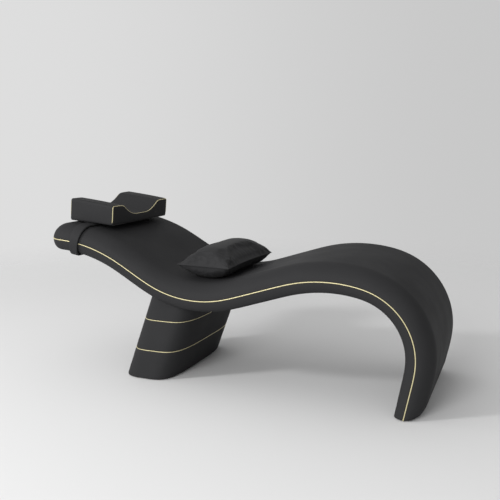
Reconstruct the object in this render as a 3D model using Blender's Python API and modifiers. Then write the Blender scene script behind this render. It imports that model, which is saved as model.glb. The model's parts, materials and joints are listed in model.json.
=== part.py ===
"""Curved lash bed: a padded slab on its own foot and one leaning pedestal, with a strapped headrest.

Metres, +Z up. The foot end is towards +X, the head end towards -X, and the origin is under the middle on the
floor. The slab follows one side profile, set out from the foot as straights and arcs.
"""

import math

import bmesh
import bpy
import numpy as np
from mathutils import Matrix, Vector

# Side profile of the piping line, from the floor at the foot to the head. Sweeps are in degrees
FOOT_HEADING = 78.75
SHIN_LENGTH = 0.193
SHIN_RADIUS = 0.292
SHIN_SWEEP = 88.1
KNEE_RADIUS = 0.636
KNEE_SWEEP = 31.0
THIGH_LENGTH = 0.2506
SEAT_RADIUS = 0.533
SEAT_SWEEP = 47.7
BACK_LENGTH = 0.1406
HEAD_RADIUS = 0.750
HEAD_SWEEP = 27.4
HEAD_LENGTH = 0.066
EASE = 0.054
FOOT_BLEND = 0.25

# Slab section, on both sides of the piping line
WIDTH = 0.750
TOP_DEPTH = 0.073
TOP_ROUND = 0.090
UNDER_DEPTH = 0.052
UNDER_DEPTH_AT_FOOT = 0.043
UNDER_TAPER_LENGTH = 0.90
UNDER_ROUND = 0.033
NOSE = 0.070
NOSE_CORNER = 0.080
FOOT_EDGE = 0.025

# Upholstery and frame
GAP = 0.0003
LEATHER = 0.002
ROLL_FIT = 0.0006
PIPING_RADIUS = 0.0035
DECK = 0.009
DECK_HALF_WIDTH = 0.335
TUBE = 0.025
TUBE_WALL = 0.002
RAIL_Y = 0.300
CROSS_TUBES_AT = (0.10, 0.42, 0.78, 1.12, 1.49, 1.59, 1.85, 2.07)
FRAME_SHORT_OF_HEAD = 0.105
FOOT_CLEARANCE = 0.004
FOOT_BOARD = 0.015
FOOT_BOARD_DEPTHS = (-0.034, 0.036)
FOOT_BOARD_HALF_WIDTH = 0.330
FOOT_GLIDE_RADIUS = 0.012
FOOT_GLIDE_Y = 0.280

# Pedestal
PEDESTAL_X_FROM_FOOT = -1.2354
PEDESTAL_LEAN = 0.364
PEDESTAL_HALF = (0.1365, 0.324)
PEDESTAL_POWER = 4.0
PEDESTAL_POINTS = 32
PEDESTAL_SEAMS = (0.144, 0.293)
PEDESTAL_OVERRUN = 0.030
BAND = 0.012
RING_INSET = 0.0015
BAND_BOTTOM = 0.004
RING_RADIUS = 0.0025
CORE = 0.015
BASE = 0.018
GLIDE_HEIGHT = 0.008
GLIDE_RADIUS = 0.016
GLIDE_FROM_EDGE = (0.052, 0.085)
SADDLE = 0.005
SADDLE_SHORT = 0.004
BOLT_TUBES = (4, 5)
BOLT_Y = 0.180
BOLT_RADIUS = 0.004
BOLT_HEAD_RADIUS = 0.0075
BOLT_HEAD = 0.006
BOLT_FIT = 0.0003
NUT_RADIUS = 0.008
NUT = 0.0065
BOLT_END = 0.002

# Headrest, in its own frame: length towards the head, width, height above its flat base
HEADREST_LENGTH = 0.244
HEADREST_WIDTH = 0.525
HEADREST_HEIGHT = 0.095
HEADREST_RISE = 0.013
HEADREST_HEADING = 175.5
HEADREST_SINK = 0.0014
HEADREST_REACH = 0.201
HEADREST_CORNER = 0.010
HEADREST_CHAMFER = 0.006
CRADLE_DEPTH = 0.0535
CRADLE_FLOOR_HALF = 0.070
CRADLE_TOP_HALF = 0.172
HEADREST_BASE = 0.006
HEADREST_PIPING_RADIUS = 0.0022
STRAP_AT = 2.085
STRAP_WIDTH = 0.046
STRAP = 0.008
STRAP_FIT = 0.0015
STRAP_TAB = (0.090, 0.003)
ZIP_TAPE = (0.0015, 0.360, 0.018)
ZIP_HEIGHT = 0.022
ZIP_SLIDER = (0.005, 0.010, 0.012)

# Loose cushion in the seat
CUSHION_LENGTH = 0.265
CUSHION_WIDTH = 0.550
CUSHION_X_FROM_SEAT = -0.0183
CUSHION_EDGE = 0.058
CUSHION_TILT = 4.0
CUSHION_CROWN = 0.078
CUSHION_SAG = 0.062
CUSHION_DRAW_IN = 0.012
FABRIC = 0.0012
FILL_FIT = 0.0012

SEAM_HALF = PIPING_RADIUS + GAP
DECK_TOP = SEAM_HALF - GAP
DECK_BOTTOM = DECK_TOP - DECK
RAIL_TOP = DECK_BOTTOM - GAP
RAIL_BOTTOM = RAIL_TOP - TUBE
PAD_TOP = RAIL_BOTTOM - 2 * GAP
EDGE_DEPTHS = (SEAM_HALF, (SEAM_HALF - PAD_TOP) / 2, -PAD_TOP)
LINING = LEATHER + GAP
CORE_INSET = BAND + GAP


def clear_scene():
    """Removes whatever the scene holds, and makes one collection for the parts and one for the cutters."""
    for obj in list(bpy.data.objects):
        bpy.data.objects.remove(obj)
    made = []
    for name in ("curved_lash_bed", "cutters"):
        collection = bpy.data.collections.new(name)
        bpy.context.scene.collection.children.link(collection)
        made.append(collection)
    return made


PARTS, CUTTERS = clear_scene()


def material(name, colour, roughness, metallic=0.0):
    """A plain Principled material with its colour given in linear values."""
    made = bpy.data.materials.new(name)
    made.use_nodes = True
    shader = made.node_tree.nodes["Principled BSDF"]
    shader.inputs["Base Color"].default_value = (*colour, 1.0)
    shader.inputs["Roughness"].default_value = roughness
    shader.inputs["Metallic"].default_value = metallic
    return made


BLACK_LEATHER = material("black_leather", (0.018, 0.018, 0.019), 0.45)
GOLD_PIPING = material("gold_piping", (0.62, 0.50, 0.27), 0.40)
BLACK_FABRIC = material("black_fabric", (0.010, 0.010, 0.011), 0.80)
FOAM = material("foam", (0.75, 0.70, 0.55), 0.95)
PLYWOOD = material("plywood", (0.55, 0.38, 0.20), 0.70)
STEEL = material("steel", (0.30, 0.31, 0.32), 0.35, 1.0)
RUBBER = material("rubber", (0.02, 0.02, 0.02), 0.85)
ZIP = material("zip", (0.03, 0.03, 0.03), 0.50)


def add_object(name, data, look, cutter=False):
    """Puts a shape in its collection. A cutter shows as a wire and never renders."""
    obj = bpy.data.objects.new(name, data)
    if cutter:
        CUTTERS.objects.link(obj)
        obj.hide_render = True
        obj.display_type = "WIRE"
    else:
        data.materials.append(look)
        PARTS.objects.link(obj)
    return obj


def shade_smooth(obj):
    obj.data.shade_smooth()
    obj.data.set_sharp_from_angle(angle=math.radians(40.0))
    return obj


def cut(obj, cutter):
    """Takes the cutter's shape out of the object."""
    modifier = obj.modifiers.new("cut", "BOOLEAN")
    modifier.operation = "DIFFERENCE"
    modifier.solver = "EXACT"
    modifier.object = cutter


def carry(name, spot, pieces):
    """Parents a moving body's pieces to an empty on its joint's axis."""
    empty = bpy.data.objects.new(name, None)
    empty.location = Vector(spot)
    PARTS.objects.link(empty)
    for piece in pieces:
        piece.parent = empty
        piece.matrix_parent_inverse = Matrix.Translation(-Vector(spot))


def tilt_of(direction):
    """Turn about Y that takes +Z to a direction in the XZ plane."""
    return math.atan2(direction[0], direction[2])


def box(name, size, centre, tilt, look):
    """A primitive cube of this size, turned about Y."""
    shape = bmesh.new()
    bmesh.ops.create_cube(shape, size=1.0, matrix=Matrix.Diagonal((*size, 1.0)))
    mesh = bpy.data.meshes.new(name)
    shape.to_mesh(mesh)
    shape.free()
    obj = add_object(name, mesh, look)
    obj.location = Vector(centre)
    obj.rotation_euler = (0.0, tilt, 0.0)
    return obj


def cylinder(name, radius, low, high, centre, tilt, look, sides=16, cutter=False):
    """A primitive cylinder between two distances along its turned axis."""
    shape = bmesh.new()
    bmesh.ops.create_cone(
        shape,
        cap_ends=True,
        segments=sides,
        radius1=radius,
        radius2=radius,
        depth=high - low,
        matrix=Matrix.Translation((0.0, 0.0, (low + high) / 2)),
    )
    mesh = bpy.data.meshes.new(name)
    shape.to_mesh(mesh)
    shape.free()
    obj = add_object(name, mesh, look, cutter)
    obj.location = Vector(centre)
    obj.rotation_euler = (0.0, tilt, 0.0)
    return obj


def turned(name, profile, centre, tilt, look, closed=False, steps=12):
    """A profile of radius and height pairs, from the top down its outer side, turned round its axis."""
    mesh = bpy.data.meshes.new(name)
    edges = [(i, i + 1) for i in range(len(profile) - 1)]
    if closed:
        edges.append((len(profile) - 1, 0))
    mesh.from_pydata([(radius, 0.0, height) for radius, height in profile], edges, [])
    obj = add_object(name, mesh, look)
    obj.location = Vector(centre)
    obj.rotation_euler = (0.0, tilt, 0.0)
    screw = obj.modifiers.new("turn", "SCREW")
    screw.steps = steps
    screw.render_steps = steps
    screw.use_merge_vertices = True
    screw.merge_threshold = 0.00001
    return obj


def quads(rows, columns, start, around):
    """Faces of a grid of points kept row by row, closed across its columns if it goes around."""
    faces = []
    for i in range(rows - 1):
        for j in range(columns if around else columns - 1):
            k = (j + 1) % columns
            faces.append(
                (
                    start + i * columns + j,
                    start + i * columns + k,
                    start + (i + 1) * columns + k,
                    start + (i + 1) * columns + j,
                )
            )
    return faces


def solid(name, points, faces):
    """A closed body from points and faces, facing out."""
    mesh = bpy.data.meshes.new(name)
    mesh.from_pydata(np.asarray(points, float).reshape(-1, 3).tolist(), [], faces)
    shape = bmesh.new()
    shape.from_mesh(mesh)
    bmesh.ops.recalc_face_normals(shape, faces=shape.faces)
    shape.to_mesh(mesh)
    shape.free()
    return mesh


def loft(name, loops, look, cutter=False):
    """A solid through a row of closed loops with equal counts, capped at both ends."""
    loops = np.asarray(loops, float)
    rows, columns = loops.shape[:2]
    faces = quads(rows, columns, 0, True)
    faces.append(tuple(range(columns)))
    faces.append(tuple(range((rows - 1) * columns, rows * columns)))
    return add_object(name, solid(name, loops, faces), look, cutter)


def sleeve(name, outer, inner, look):
    """A leaning sleeve between outer and inner loops, with its ends cut level."""
    outer = np.asarray(outer, float)
    rows, columns = outer.shape[:2]
    count = rows * columns
    faces = quads(rows, columns, 0, True) + quads(rows, columns, count, True)
    for row in (0, rows - 1):
        ring = [row * columns + j for j in range(columns)]
        faces += [(a, b, count + b, count + a) for a, b in zip(ring, ring[1:] + ring[:1])]
    return shade_smooth(add_object(name, solid(name, [outer, inner], faces), look))


def sheet(name, upper, lower, look):
    """A body between two grids of points with equal counts, closed round their edges."""
    rows, columns = np.shape(upper)[:2]
    count = rows * columns
    faces = quads(rows, columns, 0, False) + quads(rows, columns, count, False)
    rim = list(range(columns))
    rim += [i * columns + columns - 1 for i in range(1, rows)]
    rim += [(rows - 1) * columns + j for j in range(columns - 2, -1, -1)]
    rim += [i * columns for i in range(rows - 2, 0, -1)]
    faces += [(a, b, count + b, count + a) for a, b in zip(rim, rim[1:] + rim[:1])]
    return shade_smooth(add_object(name, solid(name, [upper, lower], faces), look))


def shell(name, rows, wall, look, around=False, flip=False):
    """An open surface through rows of points, thickened on the side away from its normals."""
    rows = np.asarray(rows, float)
    faces = quads(*rows.shape[:2], 0, around)
    if flip:
        faces = [face[::-1] for face in faces]
    mesh = bpy.data.meshes.new(name)
    mesh.from_pydata(rows.reshape(-1, 3).tolist(), [], faces)
    obj = shade_smooth(add_object(name, mesh, look))
    solidify = obj.modifiers.new("wall", "SOLIDIFY")
    solidify.thickness = wall
    solidify.offset = -1.0
    solidify.use_even_offset = True
    solidify.use_quality_normals = True
    return obj


def cord(name, points, radius, look, closed=False):
    """A round cord along a row of points."""
    curve = bpy.data.curves.new(name, "CURVE")
    curve.dimensions = "3D"
    curve.bevel_depth = radius
    curve.bevel_resolution = 1
    curve.use_fill_caps = not closed
    spline = curve.splines.new("POLY")
    spline.points.add(len(points) - 1)
    for spot, point in zip(spline.points, points):
        spot.co = (*map(float, point), 1.0)
    spline.use_cyclic_u = closed
    return add_object(name, curve, look)


# Side profile

SEGMENTS = (
    (SHIN_LENGTH, 0.0),
    (SHIN_RADIUS * math.radians(SHIN_SWEEP), 1 / SHIN_RADIUS),
    (KNEE_RADIUS * math.radians(KNEE_SWEEP), 1 / KNEE_RADIUS),
    (THIGH_LENGTH, 0.0),
    (SEAT_RADIUS * math.radians(SEAT_SWEEP), -1 / SEAT_RADIUS),
    (BACK_LENGTH, 0.0),
    (HEAD_RADIUS * math.radians(HEAD_SWEEP), 1 / HEAD_RADIUS),
    (HEAD_LENGTH, 0.0),
)
LENGTHS = np.array([length for length, _ in SEGMENTS])
TURNS = np.array([length * bend for length, bend in SEGMENTS])
KNOTS = np.concatenate([[0.0], np.cumsum(LENGTHS)])
HEADINGS = math.radians(FOOT_HEADING) + np.concatenate([[0.0], np.cumsum(TURNS)])
PATH_LENGTH = KNOTS[-1]
FINE = np.linspace(-2 * EASE, PATH_LENGTH + 2 * EASE, 3001)
HEADING_SUM = np.concatenate(
    [[0.0], np.cumsum((np.interp(FINE[1:], KNOTS, HEADINGS) + np.interp(FINE[:-1], KNOTS, HEADINGS)) / 2)]
)
HEADING_SUM = HEADING_SUM * (FINE[1] - FINE[0])


def heading(along):
    """The profile's heading in radians, with each change of bend eased over a short length."""
    ahead = np.interp(np.asarray(along) + EASE, FINE, HEADING_SUM)
    behind = np.interp(np.asarray(along) - EASE, FINE, HEADING_SUM)
    return (ahead - behind) / (2 * EASE)


TRACE = np.linspace(0.0, PATH_LENGTH, 2001)
TRACE_HEADING = heading((TRACE[1:] + TRACE[:-1]) / 2)
TRACE_STEP = TRACE[1] - TRACE[0]
TRACE_X = np.concatenate([[0.0], np.cumsum(np.cos(TRACE_HEADING))]) * TRACE_STEP
TRACE_Z = np.concatenate([[0.0], np.cumsum(np.sin(TRACE_HEADING))]) * TRACE_STEP
SHIFT_X = -(TRACE_X.min() - PIPING_RADIUS + (TRACE_X + np.sin(heading(TRACE)) * TOP_DEPTH).max()) / 2


def normal_angle(along):
    """Direction of the slab's top side. Near the floor it turns level, so that the foot is cut flat."""
    along = np.asarray(along, float)
    blend = np.clip(1 - along / FOOT_BLEND, 0.0, 1.0)
    blend = blend * blend * (3 - 2 * blend)
    return (heading(along) - math.pi / 2) * (1 - blend)


def at(along, y, height):
    """World points of places given along the profile, across the slab and up from the piping line."""
    along, y, height = np.broadcast_arrays(*(np.asarray(v, float) for v in (along, y, height)))
    angle = normal_angle(along)
    x = np.interp(along, TRACE, TRACE_X) + SHIFT_X + np.cos(angle) * height
    z = np.interp(along, TRACE, TRACE_Z) + np.sin(angle) * height
    return np.stack([x, y, z], axis=-1)


# Stations: closer together where the profile turns, with a few at the foot and round the nose

FOOT_START = FOOT_CLEARANCE / math.sin(math.radians(FOOT_HEADING))
BOARD_END = FOOT_START + FOOT_BOARD
INNER_START = BOARD_END + 2 * GAP


def body_stations(start, end):
    """Places along the profile that are about 7 degrees or 90 mm apart, whichever comes first."""
    along = np.linspace(start, end, 1500)
    effort = np.maximum(np.abs(np.gradient(heading(along), along)) / math.radians(7.0), 1 / 0.090)
    effort = np.concatenate([[0.0], np.cumsum((effort[1:] + effort[:-1]) / 2 * np.diff(along))])
    count = int(math.ceil(effort[-1]))
    return np.interp(np.linspace(0.0, effort[-1], count + 1), effort, along)


BODY_START = FOOT_START + FOOT_EDGE + 0.010
BODY_END = PATH_LENGTH - FRAME_SHORT_OF_HEAD
BREAKS = [BODY_START]
for tube in BOLT_TUBES:
    BREAKS += [CROSS_TUBES_AT[tube] - TUBE, CROSS_TUBES_AT[tube] + TUBE]
BREAKS.append(BODY_END)
FRAME_STATIONS = np.unique(np.concatenate([body_stations(*ends) for ends in zip(BREAKS, BREAKS[1:])]))
INNER_STATIONS = np.concatenate([[INNER_START, FOOT_START + FOOT_EDGE], FRAME_STATIONS])
FOOT_STATIONS = np.array([FOOT_START, FOOT_START + 0.005, INNER_START, FOOT_START + FOOT_EDGE])
NOSE_STEPS = NOSE * (1 - np.cos(np.radians([90.0, 68.0, 48.0, 30.0, 14.0, 0.0])))


def distance_to_nose(along, inset):
    return PATH_LENGTH - inset - along


def nose_stations(inset):
    """Stations round the nose, for a shape that lies this far inside the slab."""
    end = PATH_LENGTH - inset
    return end - NOSE_STEPS * (NOSE - inset) / NOSE


def all_stations(inset):
    """Stations of a whole shape, from the foot to the nose."""
    return np.concatenate([FOOT_STATIONS, FRAME_STATIONS, nose_stations(inset)])


def nose_scale(along, inset):
    """How much of its full depth the slab keeps near its rounded head end."""
    near = np.clip(distance_to_nose(along, inset) / (NOSE - inset), 0.0, 1.0)
    return np.sqrt(1 - (1 - near) ** 2)


def half_width(along, inset):
    """Half the slab's width, drawn in round the corners of the head end."""
    corner = NOSE_CORNER - inset
    near = np.clip(distance_to_nose(along, inset), 0.0, corner)
    return WIDTH / 2 - inset - corner + np.sqrt(corner**2 - (corner - near) ** 2)


def top_depth(along, inset):
    """Height of the top over the piping line, with the foot's outer edge rounded off."""
    up = np.clip(along - FOOT_START, 0.0, FOOT_EDGE)
    depth = TOP_DEPTH - FOOT_EDGE + np.sqrt(FOOT_EDGE**2 - (FOOT_EDGE - up) ** 2)
    return (depth - inset) * nose_scale(along, inset)


def under_depth(along, inset):
    """Depth of the underside below the piping line, thinner towards the foot."""
    share = np.clip(along / UNDER_TAPER_LENGTH, 0.0, 1.0)
    depth = UNDER_DEPTH_AT_FOOT + (UNDER_DEPTH - UNDER_DEPTH_AT_FOOT) * share
    return (depth - inset) * nose_scale(along, inset)


def arch(along, inset, depth, rounding, heights, steps):
    """Outlines across the slab: points at the given heights, then over the rounded edge in equal steps."""
    along = along[:, None]
    deep = depth(along, inset)
    scale = nose_scale(along, inset)
    heights = np.asarray(heights, float)
    angle = np.arcsin(np.clip(heights / np.maximum(deep, heights), 0.0, 1.0))
    share = np.arange(len(heights)) / (len(heights) + steps - 1)
    even = angle[:, :1] + (math.pi / 2 - angle[:, :1]) * share
    angle = np.where(scale < 1, np.minimum(angle, even), angle)
    last = angle[:, -1:]
    angle = np.concatenate([angle, last + (math.pi / 2 - last) * np.arange(1, steps + 1) / steps], axis=1)
    y = half_width(along, inset) - (rounding - inset) * scale * (1 - np.cos(angle))
    height = np.maximum(deep * np.sin(angle), heights[0])
    return np.concatenate([-y, y[:, ::-1]], axis=1), np.concatenate([height, height[:, ::-1]], axis=1)


def top_grid(along, inset):
    """The slab's top side, this far inside its surface, as rows of points across it."""
    y, height = arch(along, inset, top_depth, TOP_ROUND, (SEAM_HALF,), 4)
    return at(along[:, None], y, height)


def under_grid(along, inset, heights):
    """The slab's underside, likewise, with points at these depths on each edge."""
    y, height = arch(along, inset, under_depth, UNDER_ROUND, heights, 2)
    return at(along[:, None], y, -height)


def on_facets(along, corners):
    """One loop of a fixed section, lying on the flats between the frame's stations."""
    loop = []
    for y, height in corners:
        line = at(FRAME_STATIONS, y, height)
        loop.append([np.interp(along, FRAME_STATIONS, line[:, axis]) for axis in range(3)])
    return loop


def strip(along, corners):
    """Loops of one fixed section, as pairs of across and up, at each station."""
    corners = np.asarray(corners, float)
    return at(along[:, None], corners[:, 0], corners[:, 1])


def box_corners(y0, y1, low, high):
    return [(y0, low), (y1, low), (y1, high), (y0, high)]


# Slab: two leather covers over foam, a bent deck and a tube frame

slab_stations = all_stations(0.0)
lined_stations = all_stations(LEATHER)
cover_top = sheet("cover_top", top_grid(slab_stations, 0.0), top_grid(lined_stations, LEATHER), BLACK_LEATHER)
cover_under = sheet(
    "cover_under",
    under_grid(slab_stations, 0.0, EDGE_DEPTHS),
    under_grid(lined_stations, LEATHER, EDGE_DEPTHS),
    BLACK_LEATHER,
)
foam_stations = np.concatenate([INNER_STATIONS, nose_stations(LINING)[:-1]])
shade_smooth(loft("foam_top", top_grid(foam_stations, LINING), FOAM))
under_pad = loft("under_pad", under_grid(INNER_STATIONS, LINING, EDGE_DEPTHS[-1:]), FOAM)
nose_start = BODY_END + GAP
nose_pad_stations = np.concatenate([[nose_start], nose_stations(LINING)[:-1]])
loft("nose_pad", under_grid(nose_pad_stations, LINING, EDGE_DEPTHS), FOAM)

for side, name in ((-1, "edge_roll_near"), (1, "edge_roll_far")):
    loops = []
    for along in INNER_STATIONS:
        deep = under_depth(along, LINING)
        height = np.array(EDGE_DEPTHS)
        height[-1] -= GAP
        out = WIDTH / 2 - LINING - ROLL_FIT - (UNDER_ROUND - LINING) * (1 - np.sqrt(1 - (height / deep) ** 2))
        y = np.concatenate([out, [DECK_HALF_WIDTH + GAP] * 2])
        loops.append(at(along, side * y, -np.concatenate([height, [height[-1], height[0]]])))
    loft(name, loops, FOAM)

loft(
    "deck_board",
    strip(INNER_STATIONS, box_corners(-DECK_HALF_WIDTH, DECK_HALF_WIDTH, DECK_BOTTOM, DECK_TOP)),
    PLYWOOD,
)
for side, name in ((-1, "frame_rail_near"), (1, "frame_rail_far")):
    middle = side * RAIL_Y
    section = box_corners(middle - TUBE / 2, middle + TUBE / 2, RAIL_BOTTOM, RAIL_TOP)
    shell(name, strip(INNER_STATIONS, section), TUBE_WALL, STEEL, around=True, flip=True)


def facet(along):
    """The flat of the deck nearest to a place: its middle on the piping line, its run and its rise."""
    index = int(np.argmin(np.abs((FRAME_STATIONS[1:] + FRAME_STATIONS[:-1]) / 2 - along)))
    ends = at(FRAME_STATIONS[index : index + 2], 0.0, 0.0)
    run = (ends[1] - ends[0]) / np.linalg.norm(ends[1] - ends[0])
    rise = np.array([run[2], 0.0, -run[0]])
    return ends.mean(axis=0), run, rise


def tube_loops(middle, run, rise, ends):
    """Square loops of a cross tube at each of its ends."""
    corners = [(-TUBE / 2, RAIL_BOTTOM), (TUBE / 2, RAIL_BOTTOM), (TUBE / 2, RAIL_TOP), (-TUBE / 2, RAIL_TOP)]
    square = np.array([middle + run * a + rise * b for a, b in corners])
    return [square + np.array([0.0, y, 0.0]) for y in ends]


cross_end = RAIL_Y - TUBE / 2 - GAP
cross_tubes = []
for number, along in enumerate(CROSS_TUBES_AT, 1):
    loops = tube_loops(*facet(along), (-cross_end, cross_end))
    cross_tubes.append(shell(f"cross_tube_{number}", loops, TUBE_WALL, STEEL, around=True))

piping_y = half_width(slab_stations, 0.0)
near_side = at(slab_stations, -piping_y, 0.0)
far_side = at(slab_stations, piping_y, 0.0)
cord("side_piping", np.concatenate([near_side, far_side[::-1]]), PIPING_RADIUS, GOLD_PIPING)

foot_low, foot_high = FOOT_BOARD_DEPTHS
loft(
    "foot_board",
    strip(
        np.array([FOOT_START, BOARD_END]),
        box_corners(-FOOT_BOARD_HALF_WIDTH, FOOT_BOARD_HALF_WIDTH, foot_low, foot_high),
    ),
    PLYWOOD,
)
for side, name in ((-1, "foot_glide_near"), (1, "foot_glide_far")):
    spot = at(FOOT_START, side * FOOT_GLIDE_Y, 0.0)
    spot[2] = 0.0
    cylinder(name, FOOT_GLIDE_RADIUS, 0.0, FOOT_CLEARANCE - GAP, spot, 0.0, RUBBER)

# Pedestal: three padded leather bands round a plywood core, bolted up into two cross tubes

PEDESTAL_X = PEDESTAL_X_FROM_FOOT + SHIFT_X


def outline(z, inset):
    """One level loop of the pedestal: a rectangle with rounded corners that leans towards the foot."""
    turn = (np.arange(PEDESTAL_POINTS) + 0.5) * 2 * math.pi / PEDESTAL_POINTS
    cosine, sine = np.cos(turn), np.sin(turn)
    power = 2 / PEDESTAL_POWER
    x = (PEDESTAL_HALF[0] - inset) * np.sign(cosine) * np.abs(cosine) ** power
    y = (PEDESTAL_HALF[1] - inset) * np.sign(sine) * np.abs(sine) ** power
    return np.stack([PEDESTAL_X + PEDESTAL_LEAN * z + x, y, np.full_like(x, z)], axis=-1)


saddle_top = -UNDER_DEPTH - GAP
saddle_bottom = saddle_top - SADDLE


def share_out(points, inset):
    """How far out the points lie across the pedestal's shorter half, 1 being its face."""
    middle = PEDESTAL_X + PEDESTAL_LEAN * points[..., 2]
    return np.abs(points[..., 0] - middle) / (PEDESTAL_HALF[0] - inset)


saddle_inset = CORE_INSET + SADDLE_SHORT
search = np.linspace(FOOT_BLEND, BODY_END, 4001)
covered = search[share_out(at(search, 0.0, saddle_bottom), saddle_inset) < 0.985]
within = (FRAME_STATIONS > covered[0]) & (FRAME_STATIONS < covered[-1])
saddle_stations = np.concatenate([[covered[0]], FRAME_STATIONS[within], [covered[-1]]])
saddle_share = share_out(at(saddle_stations, 0.0, saddle_bottom), saddle_inset)
saddle_y = (PEDESTAL_HALF[1] - saddle_inset) * (1 - saddle_share**PEDESTAL_POWER) ** (1 / PEDESTAL_POWER)
pedestal_top = at(covered[-1], 0.0, saddle_top)[2] + PEDESTAL_OVERRUN


def band(name, low, high):
    """A padded sleeve between two levels."""
    outer = [outline(z, 0.0) for z in (low, high)]
    inner = [outline(z, BAND) for z in (low, high)]
    return sleeve(name, outer, inner, BLACK_LEATHER)


seam = RING_RADIUS + GAP
band("band_lower", BAND_BOTTOM, PEDESTAL_SEAMS[0] - seam)
band("band_middle", PEDESTAL_SEAMS[0] + seam, PEDESTAL_SEAMS[1] - seam)
band_upper = band("band_upper", PEDESTAL_SEAMS[1] + seam, pedestal_top)
for z, name in zip(PEDESTAL_SEAMS, ("pedestal_piping_lower", "pedestal_piping_upper")):
    cord(name, outline(z, RING_INSET), RING_RADIUS, GOLD_PIPING, closed=True)

core_low = GLIDE_HEIGHT + BASE + GAP
core_levels = (core_low, pedestal_top)
core_outer = [outline(z, CORE_INSET) for z in core_levels]
core_inner = [outline(z, CORE_INSET + CORE) for z in core_levels]
pedestal_core = sleeve("pedestal_core", core_outer, core_inner, PLYWOOD)
loft("pedestal_base", [outline(z, CORE_INSET) for z in (GLIDE_HEIGHT, GLIDE_HEIGHT + BASE)], PLYWOOD)
for number, (side_x, side_y) in enumerate(((-1, -1), (1, -1), (1, 1), (-1, 1)), 1):
    out_x, out_y = (half - CORE_INSET - edge for half, edge in zip(PEDESTAL_HALF, GLIDE_FROM_EDGE))
    spot = (PEDESTAL_X + side_x * out_x, side_y * out_y, 0.0)
    cylinder(f"pedestal_glide_{number}", GLIDE_RADIUS, 0.0, GLIDE_HEIGHT - GAP, spot, 0.0, RUBBER)

saddle_loops = []
for along, y in zip(saddle_stations, saddle_y):
    saddle_loops.append(on_facets(along, box_corners(-y, y, saddle_bottom, saddle_top)))
saddle_plate = loft("saddle_plate", saddle_loops, STEEL)

near_saddle = (FRAME_STATIONS > covered[0] - 0.20) & (FRAME_STATIONS < covered[-1] + 0.20)
for piece, height, name in (
    (band_upper, saddle_top, "cut_under_cover"),
    (pedestal_core, saddle_bottom - GAP, "cut_under_saddle"),
):
    slab = strip(FRAME_STATIONS[near_saddle], box_corners(-WIDTH, WIDTH, height, 4 * TOP_DEPTH))
    cut(piece, loft(name, slab, None, cutter=True))

head_top = saddle_bottom - GAP
nut_low = RAIL_BOTTOM + TUBE_WALL + GAP
bolt_top = nut_low + NUT + BOLT_END
bolt_profile = [(0.0, bolt_top), (BOLT_RADIUS, bolt_top), (BOLT_RADIUS, head_top)]
head_low = head_top - BOLT_HEAD
bolt_profile += [(BOLT_HEAD_RADIUS, head_top), (BOLT_HEAD_RADIUS, head_low), (0.0, head_low)]
hole_radius = BOLT_RADIUS + BOLT_FIT
nut_high = nut_low + NUT
nut_profile = [(NUT_RADIUS, nut_high), (NUT_RADIUS, nut_low), (hole_radius, nut_low), (hole_radius, nut_high)]
number = 0
for tube in BOLT_TUBES:
    middle, run, rise = facet(CROSS_TUBES_AT[tube])
    for side in (-1, 1):
        number += 1
        centre = middle + np.array([0.0, side * BOLT_Y, 0.0])
        tilt = tilt_of(rise)
        turned(f"bolt_{number}", bolt_profile, centre, tilt, STEEL)
        turned(f"nut_{number}", nut_profile, centre, tilt, STEEL, closed=True)
        low, high = saddle_bottom - SADDLE, nut_low - GAP / 2
        hole = cylinder(f"bolt_hole_{number}", hole_radius, low, high, centre, tilt, None, 12, cutter=True)
        for piece in (saddle_plate, cover_under, under_pad, cross_tubes[tube]):
            cut(piece, hole)

# Headrest: a block with a dip for the head, held by a strap round the slab. It slides along the head arc

strap_point = at(STRAP_AT, 0.0, 0.0)
strap_angle = normal_angle(STRAP_AT)
ARC_CENTRE = strap_point - HEAD_RADIUS * np.array([math.cos(strap_angle), 0.0, math.sin(strap_angle)])
rest_angle = math.radians(HEADREST_HEADING)
REST_UP = np.array([math.sin(rest_angle), 0.0, -math.cos(rest_angle)])
REST_TO_FOOT = np.array([-math.cos(rest_angle), 0.0, -math.sin(rest_angle)])
rest_lift = HEAD_RADIUS + TOP_DEPTH + STRAP_FIT + STRAP + GAP - HEADREST_SINK
REST_ORIGIN = ARC_CENTRE + REST_UP * rest_lift
REST_ORIGIN = REST_ORIGIN + REST_TO_FOOT * HEADREST_REACH


def on_rest(back, y, height):
    """World points of places behind the headrest's foot-side face, across it and above its base."""
    back, y, height = np.broadcast_arrays(*(np.asarray(v, float) for v in (back, y, height)))
    points = REST_ORIGIN - back[..., None] * REST_TO_FOOT + height[..., None] * REST_UP
    points[..., 1] = y
    return points


def block_outline(back, inset, low):
    """The headrest's outline this far back: upright sides, rounded shoulders and an S-shaped dip between them."""
    half = HEADREST_WIDTH / 2 - inset
    top = HEADREST_HEIGHT + HEADREST_RISE * back / HEADREST_LENGTH - inset
    corner = HEADREST_CORNER
    turn = np.radians([0.0, 45.0, 90.0])
    shoulder_y = half - corner + corner * np.cos(turn)
    shoulder_z = top - corner + corner * np.sin(turn)
    share = np.array([0.0, 0.2, 0.4, 0.6, 0.8, 1.0])
    wall_y = CRADLE_TOP_HALF + inset + share * (CRADLE_FLOOR_HALF - CRADLE_TOP_HALF)
    wall_z = top - CRADLE_DEPTH * share * share * (3 - 2 * share)
    y = np.concatenate([[half], shoulder_y, wall_y])
    z = np.concatenate([[low], shoulder_z, wall_z])
    return np.concatenate([y, -y[::-1]]), np.concatenate([z, z[::-1]])


def block(name, inset, low, chamfer, look, cutter=False):
    """A solid of the headrest's outline with its end edges chamfered."""
    loops = []
    ends = ((inset, chamfer), (inset + chamfer, 0.0))
    ends += ((HEADREST_LENGTH - inset - chamfer, 0.0), (HEADREST_LENGTH - inset, chamfer))
    for back, more in ends:
        loops.append(on_rest(back, *block_outline(back, inset + more, low)))
    return loft(name, loops, look, cutter)


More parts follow.
